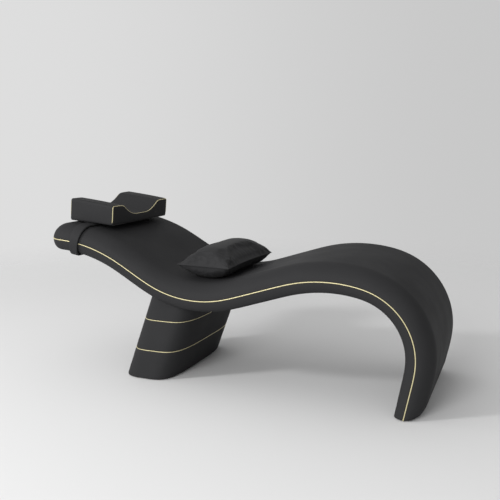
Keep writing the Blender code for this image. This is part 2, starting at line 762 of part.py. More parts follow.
headrest_cover = block("headrest_cover", 0.0, 0.0, HEADREST_CHAMFER, BLACK_LEATHER)
cut(headrest_cover, block("headrest_hollow", LEATHER, -0.010, HEADREST_CHAMFER, None, cutter=True))
headrest_foam = block("headrest_foam", LINING, HEADREST_BASE + GAP, HEADREST_CHAMFER, FOAM)
rest_tilt = tilt_of(REST_UP)
base_size = (HEADREST_LENGTH - 2 * LINING, HEADREST_WIDTH - 2 * (LINING + HEADREST_CHAMFER), HEADREST_BASE)
base_centre = on_rest(HEADREST_LENGTH / 2, 0.0, HEADREST_BASE / 2)
headrest = [headrest_cover, headrest_foam, box("headrest_base", base_size, base_centre, rest_tilt, PLYWOOD)]
tuck = HEADREST_CHAMFER / math.sqrt(2) - HEADREST_PIPING_RADIUS - GAP
tuck = tuck / math.sqrt(2)
for back, name in ((tuck, "headrest_piping_front"), (HEADREST_LENGTH - tuck, "headrest_piping_rear")):
    edge = on_rest(back, *block_outline(back, tuck, HEADREST_BASE))
    headrest.append(cord(name, edge, HEADREST_PIPING_RADIUS, GOLD_PIPING))

strap_stations = STRAP_AT + STRAP_WIDTH * np.array([-0.5, 0.0, 0.5])


def strap_loop(along, steps=5):
    """The strap's inner side: one loop round the slab, clear of the covers and of the piping."""
    angle = np.linspace(0.0, math.pi / 2, steps)
    half = WIDTH / 2 + PIPING_RADIUS + STRAP_FIT
    top_y = half - TOP_ROUND * (1 - np.cos(angle))
    top_z = (TOP_DEPTH + STRAP_FIT) * np.sin(angle)
    under_y = half - UNDER_ROUND * (1 - np.cos(angle[1:]))
    under_z = -(UNDER_DEPTH + STRAP_FIT) * np.sin(angle[1:])
    y = np.concatenate([top_y, -top_y[::-1], -under_y, under_y[::-1]])
    z = np.concatenate([top_z, top_z[::-1], under_z, under_z[::-1]])
    return at(along, y, z)


strap_loops = [strap_loop(along) for along in strap_stations]
headrest.append(shell("headrest_strap", strap_loops, STRAP, BLACK_LEATHER, around=True))
tab_top = -UNDER_DEPTH - STRAP_FIT - STRAP - GAP
tab_half = STRAP_TAB[0] / 2
tab_section = box_corners(-tab_half, tab_half, tab_top - STRAP_TAB[1], tab_top)
headrest.append(loft("strap_tab", strip(strap_stations, tab_section), ZIP))
tape_back = HEADREST_LENGTH + GAP + ZIP_TAPE[0] / 2
headrest.append(box("headrest_zip", ZIP_TAPE, on_rest(tape_back, 0.0, ZIP_HEIGHT), rest_tilt, ZIP))
carry("headrest_slide_axis", ARC_CENTRE, headrest)
slider_spot = on_rest(
    HEADREST_LENGTH + 2 * GAP + ZIP_TAPE[0] + ZIP_SLIDER[0] / 2, ZIP_TAPE[1] / 2 - ZIP_SLIDER[1], ZIP_HEIGHT
)
box("zip_slider", ZIP_SLIDER, slider_spot, rest_tilt, STEEL)

# Loose cushion: two fabric panels with a knife edge round a filling, settled into the lowest part of the seat

seat_part = FRAME_STATIONS[(FRAME_STATIONS > KNOTS[3]) & (FRAME_STATIONS < KNOTS[6])]
seat_line = at(seat_part, 0.0, TOP_DEPTH)[::-1]
SEAT_LOW = seat_line[np.argmin(seat_line[:, 2])]
CUSHION_X = SEAT_LOW[0] + CUSHION_X_FROM_SEAT
CUSHION_Z = SEAT_LOW[2] + CUSHION_EDGE


def cushion_grid(rise, rows=11, columns=15):
    """A crowned cushion face, flat at its edge, with sides drawn in between pointed corners."""
    u = np.sin(np.linspace(-1.0, 1.0, rows) * math.pi / 2)[:, None]
    v = np.sin(np.linspace(-1.0, 1.0, columns) * math.pi / 2)[None, :]
    crown = ((1 - np.abs(u) ** 2.5) * (1 - np.abs(v) ** 4)) ** 0.75
    half_x = CUSHION_LENGTH / 2 - CUSHION_DRAW_IN * (1 - v**2)
    half_y = CUSHION_WIDTH / 2 - CUSHION_DRAW_IN * (1 - u**2)
    x = u * half_x
    y = v * half_y
    z = rise * crown - x * math.tan(math.radians(CUSHION_TILT))
    return np.stack([CUSHION_X + x, y + 0 * x, CUSHION_Z + z], axis=-1)


def settled(grid, clear):
    """The grid kept above the seat by a clearance."""
    lowest = np.interp(grid[..., 0], seat_line[:, 0], seat_line[:, 2]) + clear
    grid[..., 2] = np.maximum(grid[..., 2], lowest)
    return grid


def lifted(grid, height):
    moved = grid.copy()
    moved[..., 2] += height
    return moved


outer_top = lifted(cushion_grid(CUSHION_CROWN), GAP / 2 + FABRIC)
inner_top = lifted(outer_top, -FABRIC)
outer_low = settled(lifted(cushion_grid(-CUSHION_SAG), -GAP / 2 - FABRIC), GAP)
inner_low = lifted(outer_low, FABRIC)
inside = (slice(1, -1), slice(1, -1))
cushion = [
    sheet("cushion_panel_upper", outer_top, inner_top, BLACK_FABRIC),
    sheet("cushion_panel_lower", outer_low, inner_low, BLACK_FABRIC),
    sheet("cushion_filling", lifted(inner_top, -FILL_FIT)[inside], lifted(inner_low, FILL_FIT)[inside], FOAM),
]
carry("cushion_lift_axis", (CUSHION_X, 0.0, CUSHION_Z), cushion)
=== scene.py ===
"""Upholstery, trim and finishes of a curved lash bed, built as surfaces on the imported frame."""

import json
import math

import bmesh
import bpy
import numpy as np
from bpy.props import FloatProperty, FloatVectorProperty, IntProperty, PointerProperty
from bpy.types import Operator, Panel, PropertyGroup
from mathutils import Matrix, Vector


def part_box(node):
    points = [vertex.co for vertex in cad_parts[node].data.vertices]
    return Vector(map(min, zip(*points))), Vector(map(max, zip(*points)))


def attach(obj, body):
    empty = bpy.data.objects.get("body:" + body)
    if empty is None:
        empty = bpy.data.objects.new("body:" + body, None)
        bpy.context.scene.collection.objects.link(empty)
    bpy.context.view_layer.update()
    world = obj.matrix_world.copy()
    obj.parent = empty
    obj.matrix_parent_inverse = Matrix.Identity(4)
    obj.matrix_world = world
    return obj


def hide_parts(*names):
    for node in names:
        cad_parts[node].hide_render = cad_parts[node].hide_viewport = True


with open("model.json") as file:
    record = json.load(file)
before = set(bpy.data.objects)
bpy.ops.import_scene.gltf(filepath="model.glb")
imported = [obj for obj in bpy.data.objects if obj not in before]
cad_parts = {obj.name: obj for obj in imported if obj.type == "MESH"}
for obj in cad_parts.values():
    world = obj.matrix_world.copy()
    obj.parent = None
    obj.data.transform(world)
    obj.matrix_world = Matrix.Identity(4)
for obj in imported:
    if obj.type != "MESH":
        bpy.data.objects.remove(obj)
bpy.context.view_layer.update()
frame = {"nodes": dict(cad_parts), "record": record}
COVER_LOW, COVER_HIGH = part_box("cover_top")

bl_info = {
    "name": "Curved Lash Bed",
    "version": (1, 0, 0),
    "blender": (4, 5, 0),
    "location": "View3D > Sidebar > Lash Bed",
    "description": "Covers, piping, headrest, cushion and studio of a curved lash bed",
    "category": "Add Mesh",
}


# Sizes


def linear(hex_colour):
    """Linear values of an sRGB hex colour."""
    srgb = np.array([int(hex_colour[i : i + 2], 16) / 255 for i in (1, 3, 5)])
    low = srgb / 12.92
    high = ((srgb + 0.055) / 1.055) ** 2.4
    return tuple(float(v) for v in np.where(srgb <= 0.04045, low, high))


def number(name, description, default, **more):
    return FloatProperty(name=name, description=description, default=default, **more)


def length(name, description, default):
    return number(name, description, default, unit="LENGTH", precision=4)


def angle(name, description, degrees):
    return number(name, description, math.radians(degrees), unit="ROTATION")


def whole(name, description, default, least):
    return IntProperty(name=name, description=description, default=default, min=least)


def colour(name, description, hex_colour):
    return FloatVectorProperty(
        name=name, description=description, default=linear(hex_colour), subtype="COLOR"
    )


class SlabSizes(PropertyGroup):
    """The slab's side profile, from the floor at the foot to the head, and its section."""

    foot_heading: angle("Foot heading", "Slope of the slab where it meets the floor", 78.75)
    shin_length: length("Shin length", "Straight run up from the floor", 0.193)
    shin_radius: length("Shin radius", "Bend above the straight run", 0.292)
    shin_sweep: angle("Shin sweep", "Turn of that bend", 88.1)
    knee_radius: length("Knee radius", "Flatter bend over the knees", 0.636)
    knee_sweep: angle("Knee sweep", "Turn of that bend", 31.0)
    thigh_length: length("Thigh length", "Straight run down to the seat", 0.2506)
    seat_radius: length("Seat radius", "Hollow of the seat", 0.533)
    seat_sweep: angle("Seat sweep", "Turn of that hollow", 47.7)
    back_length: length("Back length", "Straight run up the back", 0.1406)
    head_radius: length("Head radius", "Bend under the headrest", 0.750)
    head_sweep: angle("Head sweep", "Turn of that bend", 27.4)
    head_length: length("Head length", "Straight run at the head end", 0.066)
    ease: length("Ease", "Half the run over which one bend passes into the next", 0.054)
    foot_blend: length("Foot blend", "Run over which the section turns level above the floor", 0.25)
    width: length("Width", "Width of the slab between its side seams", (COVER_HIGH - COVER_LOW).y)
    top_depth: length("Top depth", "Height of the top over the seam", 0.073)
    top_round: length("Top round", "Rounding of the top's shoulders", 0.090)
    under_depth: length("Under depth", "Depth of the underside below the seam", 0.052)
    under_foot: length("Under depth at foot", "The same at the floor", 0.043)
    under_taper: length("Under taper", "Run over which the underside thins to the foot", 0.90)
    under_round: length("Under round", "Rounding of the underside's edges", 0.033)
    nose: length("Nose", "Rounding of the head end, seen from the side", 0.070)
    nose_corner: length("Nose corner", "Rounding of the head end's corners, seen from above", 0.080)
    foot_edge: length("Foot edge", "Rounding of the outer edge at the floor, along the floor", 0.030)
    foot_rise: length("Foot rise", "The same rounding's height", 0.075)
    foot_side: length("Foot side", "Rounding of the other edges at the floor", 0.007)
    foot_clear: length("Foot clearance", "Height of the covers over the floor", 0.004)
    leather: length("Leather", "Thickness of the covers", 0.0016)
    pucker: length("Pucker", "Height of the puckers that the stitches pull beside a seam", 0.00045)
    pucker_run: length("Pucker spacing", "Run from one pucker to the next", 0.021)


class TrimSizes(PropertyGroup):
    """Piping on the slab, the pedestal and the headrest."""

    side_radius: length("Side piping", "Radius of the cord along the slab's sides", 0.0022)
    ring_radius: length("Pedestal piping", "Radius of the cords round the pedestal", 0.0017)
    rest_radius: length("Headrest piping", "Radius of the cords on the headrest", 0.0018)
    sides: whole("Sides", "Faces round a cord", 14, 6)


class PedestalSizes(PropertyGroup):
    """The leaning pedestal."""

    x: length("Position", "Middle of the pedestal on the floor, along the bed", -0.4305)
    lean: number("Lean", "Shift towards the foot for each metre up", 0.364)
    half_length: length("Half length", "Half the pedestal's size along the bed", 0.1365)
    half_width: length("Half width", "Half the pedestal's size across the bed", 0.324)
    power: number("Squareness", "Power of the rounded outline", 4.0)
    seam_low: length("Lower seam", "Height of the lower piping", 0.144)
    seam_high: length("Upper seam", "Height of the upper piping", 0.293)
    bottom: length("Bottom", "Height of the lowest band over the floor", 0.004)
    roll: length("Seam roll", "Height over which a band rolls in to its seam", 0.010)
    tuck: length("Seam tuck", "How deep a band's edge is tucked at its seam", 0.0042)


class HeadrestSizes(PropertyGroup):
    """The headrest block with its dip, strap and zip."""

    long: length("Length", "Size of the block along the bed", 0.244)
    width: length("Width", "Size of the block across the bed", 0.525)
    height: length("Height", "Height of the shoulders over the block's base, at the foot side", 0.095)
    rise: length("Rise", "How much higher the shoulders are at the head side", 0.013)
    sink: length("Sink", "How far the padded strap is pressed in under the block", 0.0014)
    edge: length("Edge", "Rounding of the block's edges", 0.0095)
    dip: length("Dip", "Depth of the dip for the head", 0.0535)
    dip_floor: length("Dip floor", "Half the flat of the dip", 0.040)
    dip_top: length("Dip top", "Half the dip's width at its top", 0.166)
    crown: length("Crown", "How far the covers stand out in the middle of a face", 0.0030)
    heading: angle("Heading", "Slope that the block lies at", 175.5)
    reach: length("Reach", "Distance from the middle of the strap's arc to the block's face", 0.201)
    strap_at: length("Strap place", "Place of the strap along the slab", 2.085)
    strap_width: length("Strap width", "Width of the strap", 0.046)
    strap: length("Strap thickness", "Thickness of the padded strap", 0.008)
    strap_fit: length("Strap fit", "Clearance between the strap and the slab", 0.0015)
    tab: length("Tab", "Length of the strap's closing tab across the bed", 0.090)
    zip_long: length("Zip length", "Length of the zip", 0.360)
    zip_wide: length("Zip width", "Width of the zip's tape", 0.018)
    zip_height: length("Zip height", "Height of the zip over the block's base", 0.022)
    tooth: length("Tooth spacing", "Run from one zip tooth to the next", 0.0030)


class CushionSizes(PropertyGroup):
    """The loose cushion in the seat."""

    long: length("Length", "Size along the bed, corner to corner", 0.257)
    width: length("Width", "Size across the bed, corner to corner", 0.549)
    x: length("Position", "Middle of the cushion along the bed", -0.1336)
    z: length("Edge height", "Height of the seam's middle over the floor", 0.549)
    tilt: angle("Tilt", "Slope of the seam, with the head side up", 3.85)
    crown: length("Crown", "Height of the upper panel over the seam", 0.070)
    sag: length("Sag", "Depth of the lower panel under the seam, before it settles", 0.075)
    draw_long: number("Drawn in, long", "Share by which the long edges curve in between corners", 0.10)
    draw_width: number("Drawn in, short", "Share by which the short edges curve in between corners", 0.037)
    slack: number("Slack", "Share by which the panels are cut larger than they lie", 0.028)
    pressure: number("Pressure", "Pressure of the filling", 0.5)
    stiffness: number("Stiffness", "How hard the cloth is to stretch", 120.0)
    most: length("Most movement", "How far the filling may push a panel out of its first shape", 0.012)
    settled: number("Settled", "Share of that movement left to the lower panel, on the seat", 0.3)
    frames: whole("Frames", "Steps of the simulation that fills it", 14, 1)
    flange: length("Flange", "Width of the sewn lip round the cushion", 0.0055)
    gather: length("Gathers", "Height of the small gathers along the seam", 0.0007)
    lift: length("Lift", "How much higher the seam lies at the near corner towards the foot", 0.0135)


class FinishColours(PropertyGroup):
    """Colours of the finishes."""

    leather: colour("Leather", "Black synthetic leather", "#2e2e2f")
    piping: colour("Piping", "Pale gold synthetic leather", "#d4ca9f")
    fabric: colour("Fabric", "Black woven cotton of the cushion", "#2c2c2d")
    steel: colour("Steel", "Powder coat of the frame", "#3c3e41")
    plywood: colour("Plywood", "Birch plywood", "#c4a274")
    stain: colour("Stain", "Black stain of the headrest's board", "#19191a")
    rubber: colour("Rubber", "Moulded rubber of the glides", "#1c1c1c")
    tape: colour("Tape", "Woven tape of the zip and the strap's tab", "#1e1e20")
    plating: colour("Plating", "Plated metal of the zip's slider", "#9a9b9d")
    floor: colour("Floor", "Matt studio floor", "#dedede")


class StageSettings(PropertyGroup):
    """Camera and light."""

    lens: number("Lens", "Focal length", 50.0, unit="CAMERA")
    spot: FloatVectorProperty(
        name="Camera", description="Place of the camera", default=(1.2386, -3.0702, 1.1182), unit="LENGTH"
    )
    pitch: angle("Pitch", "How far the camera looks down", 8.8818)
    turn: angle("Turn", "How far the camera is turned to the left", 22.174)
    key: number("Key light", "Power of the soft light on the left", 168.0, unit="POWER")
    front: number("Front light", "Power of the soft light in front", 224.0, unit="POWER")
    fill: number("Fill light", "Strength of the light from all round", 0.76)
    lean: number("Lean", "How much brighter that light is from the left", 0.50)


# Arrays


def joined(*parts, axis=0):
    return np.concatenate(parts, axis=axis)


def together(*parts):
    """Arrays spread to one shape and set side by side along a last axis."""
    return np.stack(np.broadcast_arrays(*parts), axis=-1)


def running(steps):
    """Sum so far of a row of steps, from nought."""
    return joined([0.0], np.cumsum(steps))


def quarter(count):
    """Angles over a quarter turn."""
    return np.linspace(0.0, math.pi / 2, count)


def quarter_circle(share):
    """Height of a quarter circle over a share of its run: nought at its start, and one from its end on."""
    return np.sqrt(1 - (1 - np.clip(share, 0.0, 1.0)) ** 2)


def arch(share):
    """A parabola over a share from nought to one, with its top of one in the middle."""
    return 1 - (2 * share - 1) ** 2


def smooth_step(share):
    share = np.clip(share, 0.0, 1.0)
    return share * share * (3 - 2 * share)


def soft_positive(value, width):
    """A value where it is above nought, and nought where it is below, rounded over a width."""
    return (value + np.sqrt(value**2 + width**2)) / 2


# Meshes

DOME_SHARES = (0.5, 0.85, 1.0)
DOME_LENGTH = 0.6
STEEP = 0.8


def grid_faces(rows, columns, around_rows=False, around_columns=False):
    """Quads of a grid of points kept row by row, closed along either way on demand."""
    i = np.arange(rows if around_rows else rows - 1)[:, None]
    j = np.arange(columns if around_columns else columns - 1)[None, :]
    ahead = (i + 1) % rows
    aside = (j + 1) % columns
    return together(
        i * columns + j, i * columns + aside, ahead * columns + aside, ahead * columns + j
    ).reshape(-1, 4)


def surface(name, points, faces, uv=None):
    """A smooth mesh from arrays of points and of faces, with a UV map given per point."""
    mesh = bpy.data.meshes.new(name)
    mesh.from_pydata(np.asarray(points, float).reshape(-1, 3), [], list(map(tuple, faces)))
    mesh.polygons.foreach_set("use_smooth", np.ones(len(mesh.polygons), bool))
    if uv is not None:
        loops = np.empty(len(mesh.loops), np.int32)
        mesh.loops.foreach_get("vertex_index", loops)
        layer = mesh.uv_layers.new(name="surface")
        layer.data.foreach_set("uv", np.asarray(uv, np.float32).reshape(-1, 2)[loops].ravel())
    mesh.update()
    return mesh


def facing_out(mesh):
    """Merges doubled points and turns a closed mesh's faces outwards."""
    shape = bmesh.new()
    shape.from_mesh(mesh)
    bmesh.ops.remove_doubles(shape, verts=shape.verts, dist=1e-6)
    bmesh.ops.recalc_face_normals(shape, faces=shape.faces)
    shape.to_mesh(mesh)
    shape.free()
    return mesh


def add_piece(mesh, make, body, replaces):
    """Links a piece named like its mesh, lets it ride on its body and hides the nodes it stands for."""
    piece = bpy.data.objects.new(mesh.name, mesh)
    bpy.context.scene.collection.objects.link(piece)
    mesh.materials.append(finish(make))
    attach(piece, body)
    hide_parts(*replaces)
    return piece


def wall(piece, thickness):
    """Gives an open sheet its thickness, on the side away from its normals."""
    solidify = piece.modifiers.new("wall", "SOLIDIFY")
    solidify.thickness = thickness
    solidify.offset = -1.0
    solidify.use_even_offset = True


def tube(path, radius, sides, closed):
    """A round cord: circles square to the path, carried along it without twist, with domed ends.

    Each circle's frame is the last one's, turned by the least rotation that follows the path.
    """
    if closed:
        along = np.roll(path, -1, axis=0) - np.roll(path, 1, axis=0)
    else:
        along = np.gradient(path, axis=0)
    along /= np.linalg.norm(along, axis=1, keepdims=True)
    side = np.cross(along[0], (0.0, 0.0, 1.0) if abs(along[0, 2]) < STEEP else (1.0, 0.0, 0.0))
    first = np.empty_like(along)
    for index, direction in enumerate(along):
        side = side - direction * (side @ direction)
        side = side / np.linalg.norm(side)
        first[index] = side
    second = np.cross(along, first)
    turn = np.arange(sides) * 2 * math.pi / sides
    circle = np.cos(turn)[:, None] * first[:, None] + np.sin(turn)[:, None] * second[:, None]
    rings = path[:, None] + radius * circle
    if closed:
        return rings
    domes = []
    for end, way in ((0, -1.0), (-1, 1.0)):
        rows = [
            path[end]
            + (rings[end] - path[end]) * math.sqrt(max(1 - share**2, 1e-4))
            + way * share * DOME_LENGTH * radius * along[end]
            for share in DOME_SHARES
        ]
        domes.append(np.array(rows if way > 0 else rows[::-1]))
    return joined(domes[0], rings, domes[1])


def add_cord(name, path, radius, body, node, closed=True):
    """A piece of gold piping along a path."""
    sides = bpy.context.scene.lash_bed_trim.sides
    rings = tube(path, radius, sides, closed)
    rows = len(rings)
    faces = grid_faces(rows, sides, closed, True).tolist()
    if not closed:
        faces.append(tuple(range(sides)))
        faces.append(tuple(range((rows - 1) * sides, rows * sides)))
    add_piece(facing_out(surface(name, rings, faces)), gold_leather, body, [node])


def rounded_section(half, height, radius, flat=10, steps=5):
    """A closed section with rounded corners, from -half to half across and from nought up to its height."""
    turn = quarter(steps)
    row = np.linspace(radius - half, half - radius, flat)[1:-1]
    out, up = half - radius, height - radius
    sine, cosine = radius * np.sin(turn), radius * np.cos(turn)
    across = joined(row, out + sine, out + cosine, row[::-1], -out - sine, -out - cosine)
    level, top = np.zeros_like(row), np.full_like(row, height)
    return across, joined(level, radius - cosine, up + sine, top, up + cosine, radius - sine)


def box_surface(counts):
    """Points and quads of the surface of a cube from -1 to 1, with rows spread evenly on its six faces."""
    points, faces, total = [], [], 0
    for axis in range(3):
        a, b = (axis + 1) % 3, (axis + 2) % 3
        u = np.linspace(-1.0, 1.0, counts[a] + 1)
        v = np.linspace(-1.0, 1.0, counts[b] + 1)
        for side in (-1.0, 1.0):
            grid = np.empty((len(u), len(v), 3))
            grid[..., a] = u[:, None]
            grid[..., b] = v[None, :]
            grid[..., axis] = side
            points.append(grid.reshape(-1, 3))
            faces.append(grid_faces(len(u), len(v)) + total)
            total += len(u) * len(v)
    return joined(*points), joined(*faces)


ROW_CROWDING = 1.35


def rounded_box(half, edge, counts):
    """A box with rounded edges: each point of a cube's surface is moved out from an inner box.

    Rows crowd towards the edges, by a power of the distance from them.
    """
    cube, faces = box_surface(counts)
    half = np.asarray(half)
    box = np.sign(cube) * (1 - (1 - np.abs(cube)) ** ROW_CROWDING) * half
    inner = np.clip(box, edge - half, half - edge)
    out = box - inner
    distance = np.linalg.norm(out, axis=1, keepdims=True)
    return cube, inner + out / np.maximum(distance, 1e-9) * np.minimum(distance, edge), faces


# Finishes

WAVE_HALF = 20.0 / math.pi  # half waves in a metre of a wave texture at a scale of one
VECTOR_A, VECTOR_B, VECTOR_OUT = 4, 5, 1  # sockets of a Mix node
COLOUR_A, COLOUR_B, COLOUR_OUT = 6, 7, 2
ROUGH_FROM = (0.3, 0.7)  # the part of a noise's range that moves the roughness


def add_node(tree, kind, inputs=None, **settings):
    """Adds a node, sets what it is given, and links an input where its value is another node's output."""
    made = tree.nodes.new("ShaderNode" + kind)
    for key, value in settings.items():
        setattr(made, key, value)
    for key, value in (inputs or {}).items():
        if isinstance(value, bpy.types.NodeSocket):
            tree.links.new(value, made.inputs[key])
        else:
            made.inputs[key].default_value = value
    return made


def maths(tree, operation, *values, kind="Math"):
    return add_node(tree, kind, dict(enumerate(values)), operation=operation).outputs["Value"]


def blend(tree, factor, low, high):
    """A colour between two."""
    inputs = {"Factor": factor, COLOUR_A: (*low, 1.0), COLOUR_B: (*high, 1.0)}
    return add_node(tree, "Mix", inputs, data_type="RGBA").outputs[COLOUR_OUT]


def ranged(tree, value, source, target=(0.0, 1.0), **settings):
    """A value carried from one range to another."""
    inputs = dict(zip(("Value", "From Min", "From Max", "To Min", "To Max"), (value, *source, *target)))
    return add_node(tree, "MapRange", inputs, **settings).outputs["Result"]


def per_metre(millimetres):
    """Texture scale that repeats at this size."""
    return 1000.0 / millimetres


class Finish:
    """A material under way: its tree, its shader with its own values set, and the object's coordinates."""

    def __init__(self, name, **values):
        self.material = bpy.data.materials.new(name)
        self.material.use_nodes = True
        self.tree = self.material.node_tree
        self.shader = self.tree.nodes["Principled BSDF"]
        for key, value in values.items():
            socket = key.replace("_", " ").title().replace("Ior", "IOR")
            self.shader.inputs[socket].default_value = value
        self.spot = add_node(self.tree, "TexCoord").outputs["Object"]
        self.raised = {}

    def link(self, value, socket):
        self.tree.links.new(value, self.shader.inputs[socket])

    def noise(self, millimetres, detail, output="Fac", **more):
        inputs = {"Vector": self.spot, "Scale": per_metre(millimetres), "Detail": detail, **more}
        return add_node(self.tree, "TexNoise", inputs).outputs[output]

    def cells(self, millimetres, spot, **settings):
        inputs = {"Vector": spot, "Scale": per_metre(millimetres)}
        return add_node(self.tree, "TexVoronoi", inputs, **settings).outputs["Distance"]

    def threads(self, millimetres, spot, distortion, direction):
        scale = per_metre(millimetres) / WAVE_HALF
        inputs = {"Vector": spot, "Scale": scale, "Distortion": distortion, "Detail": 1.0}
        return add_node(self.tree, "TexWave", inputs, bands_direction=direction).outputs["Fac"]

    def tint(self, pattern, base, low, high):
        """Colours it between a darker and a lighter shade of the base."""
        dark, light = (tuple(v * share for v in base) for share in (low, high))
        self.link(blend(self.tree, pattern, dark, light), "Base Color")

    def roughen(self, pattern, low, high):
        self.link(ranged(self.tree, pattern, ROUGH_FROM, (low, high)), "Roughness")

    def emboss(self, pattern, strength, depth, invert=False):
        """Raises a pattern over what is raised already."""
        inputs = {"Height": pattern, "Strength": strength, "Distance": depth, **self.raised}
        self.raised = {"Normal": add_node(self.tree, "Bump", inputs, invert=invert).outputs["Normal"]}
        self.link(self.raised["Normal"], "Normal")


def embossed_leather(colours):
    """Synthetic leather, calendered black and embossed with a fine grain, its top coat softly shining.

    The grain's cells are 1.8 mm across. Broad patches, about 160 mm, are handled a little smoother.
    """
    made = Finish("synthetic leather, embossed black", specular_ior_level=0.045)
    patches = made.noise(160.0, 3.0)
    inputs = {"Factor": 0.0012, VECTOR_A: made.spot, VECTOR_B: made.noise(5.0, 2.0, "Color")}
    bent = add_node(made.tree, "Mix", inputs, data_type="VECTOR").outputs[VECTOR_OUT]
    made.tint(patches, colours.leather, 0.90, 1.10)
    made.roughen(patches, 0.54, 0.64)
    made.emboss(made.noise(26.0, 4.0, Roughness=0.55), 0.10, 0.0012)
    made.emboss(made.cells(1.8, bent, feature="SMOOTH_F1"), 0.25, 0.0002, invert=True)
    return made.material


def gold_leather(colours):
    """Synthetic leather skived thin over a cord, coated in pale gold.

    Pores are 0.9 mm across. The coat varies over about 30 mm.
    """
    made = Finish("synthetic leather, gold coated", metallic=0.35)
    coat = made.noise(30.0, 3.0)
    made.tint(coat, colours.piping, 0.88, 1.06)
    made.roughen(coat, 0.34, 0.46)
    made.emboss(made.cells(0.9, made.spot), 0.15, 0.0001)
    return made.material


def woven_cotton(colours):
    """Cotton sateen, woven and dyed black, with a soft nap that catches light at its edges.

    Threads lie 0.8 mm apart. Slubs and rubbed patches are about 40 mm across.
    """
    made = Finish(
        "cotton sateen, woven black",
        roughness=0.66,
        specular_ior_level=0.10,
        sheen_weight=0.02,
        sheen_roughness=0.45,
    )
    cloth = add_node(made.tree, "UVMap", uv_map="surface").outputs["UV"]
    warp, weft = (made.threads(0.8, cloth, 0.6, direction) for direction in "XY")
    made.tint(made.noise(40.0, 4.0), colours.fabric, 0.82, 1.18)
    made.emboss(maths(made.tree, "MULTIPLY", warp, weft), 0.30, 0.0002)
    return made.material


def powder_coat(colours):
    """Steel tube, powder coated, with an orange peel about 1.5 mm across, and dust in larger patches."""
    made = Finish("steel, powder coated", roughness=0.48)
    made.tint(made.noise(60.0, 4.0), colours.steel, 0.9, 1.12)
    made.emboss(made.noise(1.5, 2.0), 0.2, 0.0001)
    return made.material


def plywood(name, base, roughness):
    """Birch plywood, rotary cut and sanded: long figure along the bed, about 9 mm wide and 140 mm long."""
    made = Finish(name, roughness=roughness)
    scale = tuple(per_metre(size) for size in (140.0, 9.0, 1.4))
    stretched = add_node(made.tree, "Mapping", {"Vector": made.spot, "Scale": scale}).outputs["Vector"]
    inputs = {"Vector": stretched, "Scale": 1.0, "Detail": 5.0}
    figure = add_node(made.tree, "TexNoise", inputs).outputs["Fac"]
    made.tint(figure, base, 0.72, 1.12)
    made.emboss(figure, 0.15, 0.0003)
    return made.material


def birch_ply(colours):
    """The plywood left bare, pale with darker figure."""
    return plywood("birch plywood, sanded", colours.plywood, 0.66)


def stained_ply(colours):
    """The plywood stained black, so that the board's edge doesn't show under the leather."""
    return plywood("birch plywood, stained black", colours.stain, 0.72)


def moulded_rubber(colours):
    """Rubber, moulded, with a dull bloom in patches about 12 mm across."""
    made = Finish("rubber, moulded black")
    bloom = made.noise(12.0, 4.0)
    made.tint(bloom, colours.rubber, 0.8, 1.5)
    made.roughen(bloom, 0.70, 0.88)
    return made.material


def woven_tape(colours):
    """Polyester tape, woven in a herringbone with rows 1.2 mm apart."""
    made = Finish("polyester tape, woven black", roughness=0.7)
    rows = made.threads(1.2, made.spot, 1.0, "DIAGONAL")
    made.tint(rows, colours.tape, 0.75, 1.3)
    made.emboss(rows, 0.4, 0.0002)
    return made.material


def plated_zinc(colours):
    """Zinc, die cast and plated, with fine tumbling marks about 2 mm long."""
    made = Finish("zinc, cast and plated", metallic=1.0)
    marks = made.noise(2.0, 5.0)
    made.tint(marks, colours.plating, 0.85, 1.1)
    made.roughen(marks, 0.22, 0.40)
    return made.material


def studio_floor(colours):
    """Painted studio floor, rolled matt. It fades out into the backdrop's light a few metres off."""
    made = Finish("studio paint, rolled matt", roughness=0.85, specular_ior_level=0.2)
    made.shader.inputs["Base Color"].default_value = (*colours.floor, 1.0)
    far = maths(made.tree, "LENGTH", made.spot, kind="VectorMath")
    fade = ranged(made.tree, far, (1.5, 5.0), interpolation_type="SMOOTHSTEP")
    clear = add_node(made.tree, "BsdfTransparent").outputs["BSDF"]
    mixed = add_node(made.tree, "MixShader", {0: fade, 1: made.shader.outputs["BSDF"], 2: clear})
    made.tree.links.new(mixed.outputs["Shader"], made.tree.nodes["Material Output"].inputs["Surface"])
    return made.material


FINISHES = {}


def finish(make):
    """One copy of each finish, made when it is first asked for."""
    if make not in FINISHES:
        FINISHES[make] = make(bpy.context.scene.lash_bed_colours)
    return FINISHES[make]


# Slab

HEADING_STEPS = 6001
LINE_STEPS = 4001
FOOT_ROWS, BODY_ROWS, NOSE_ROWS = 15, 300, 22
NOSE_TIP = 0.02
SIDE_COLUMNS, FLAT_COLUMNS, END_COLUMNS = 26, 24, 60
TUCK_IN = np.array([0.0060, 0.0036, 0.0016, 0.0005])
TUCK_UP = np.array([0.0006, 0.0009, 0.0019, 0.0034])
TUCK_MOST = 0.9
TUCK_TOP = 0.0048
LEAST_STEP = 0.0001
PUCKER_LEVEL, PUCKER_FADE = 0.005, 0.009
LIP_ALONG, LIP_ACROSS, LIP_UP = 0.0006, 0.94, 0.6


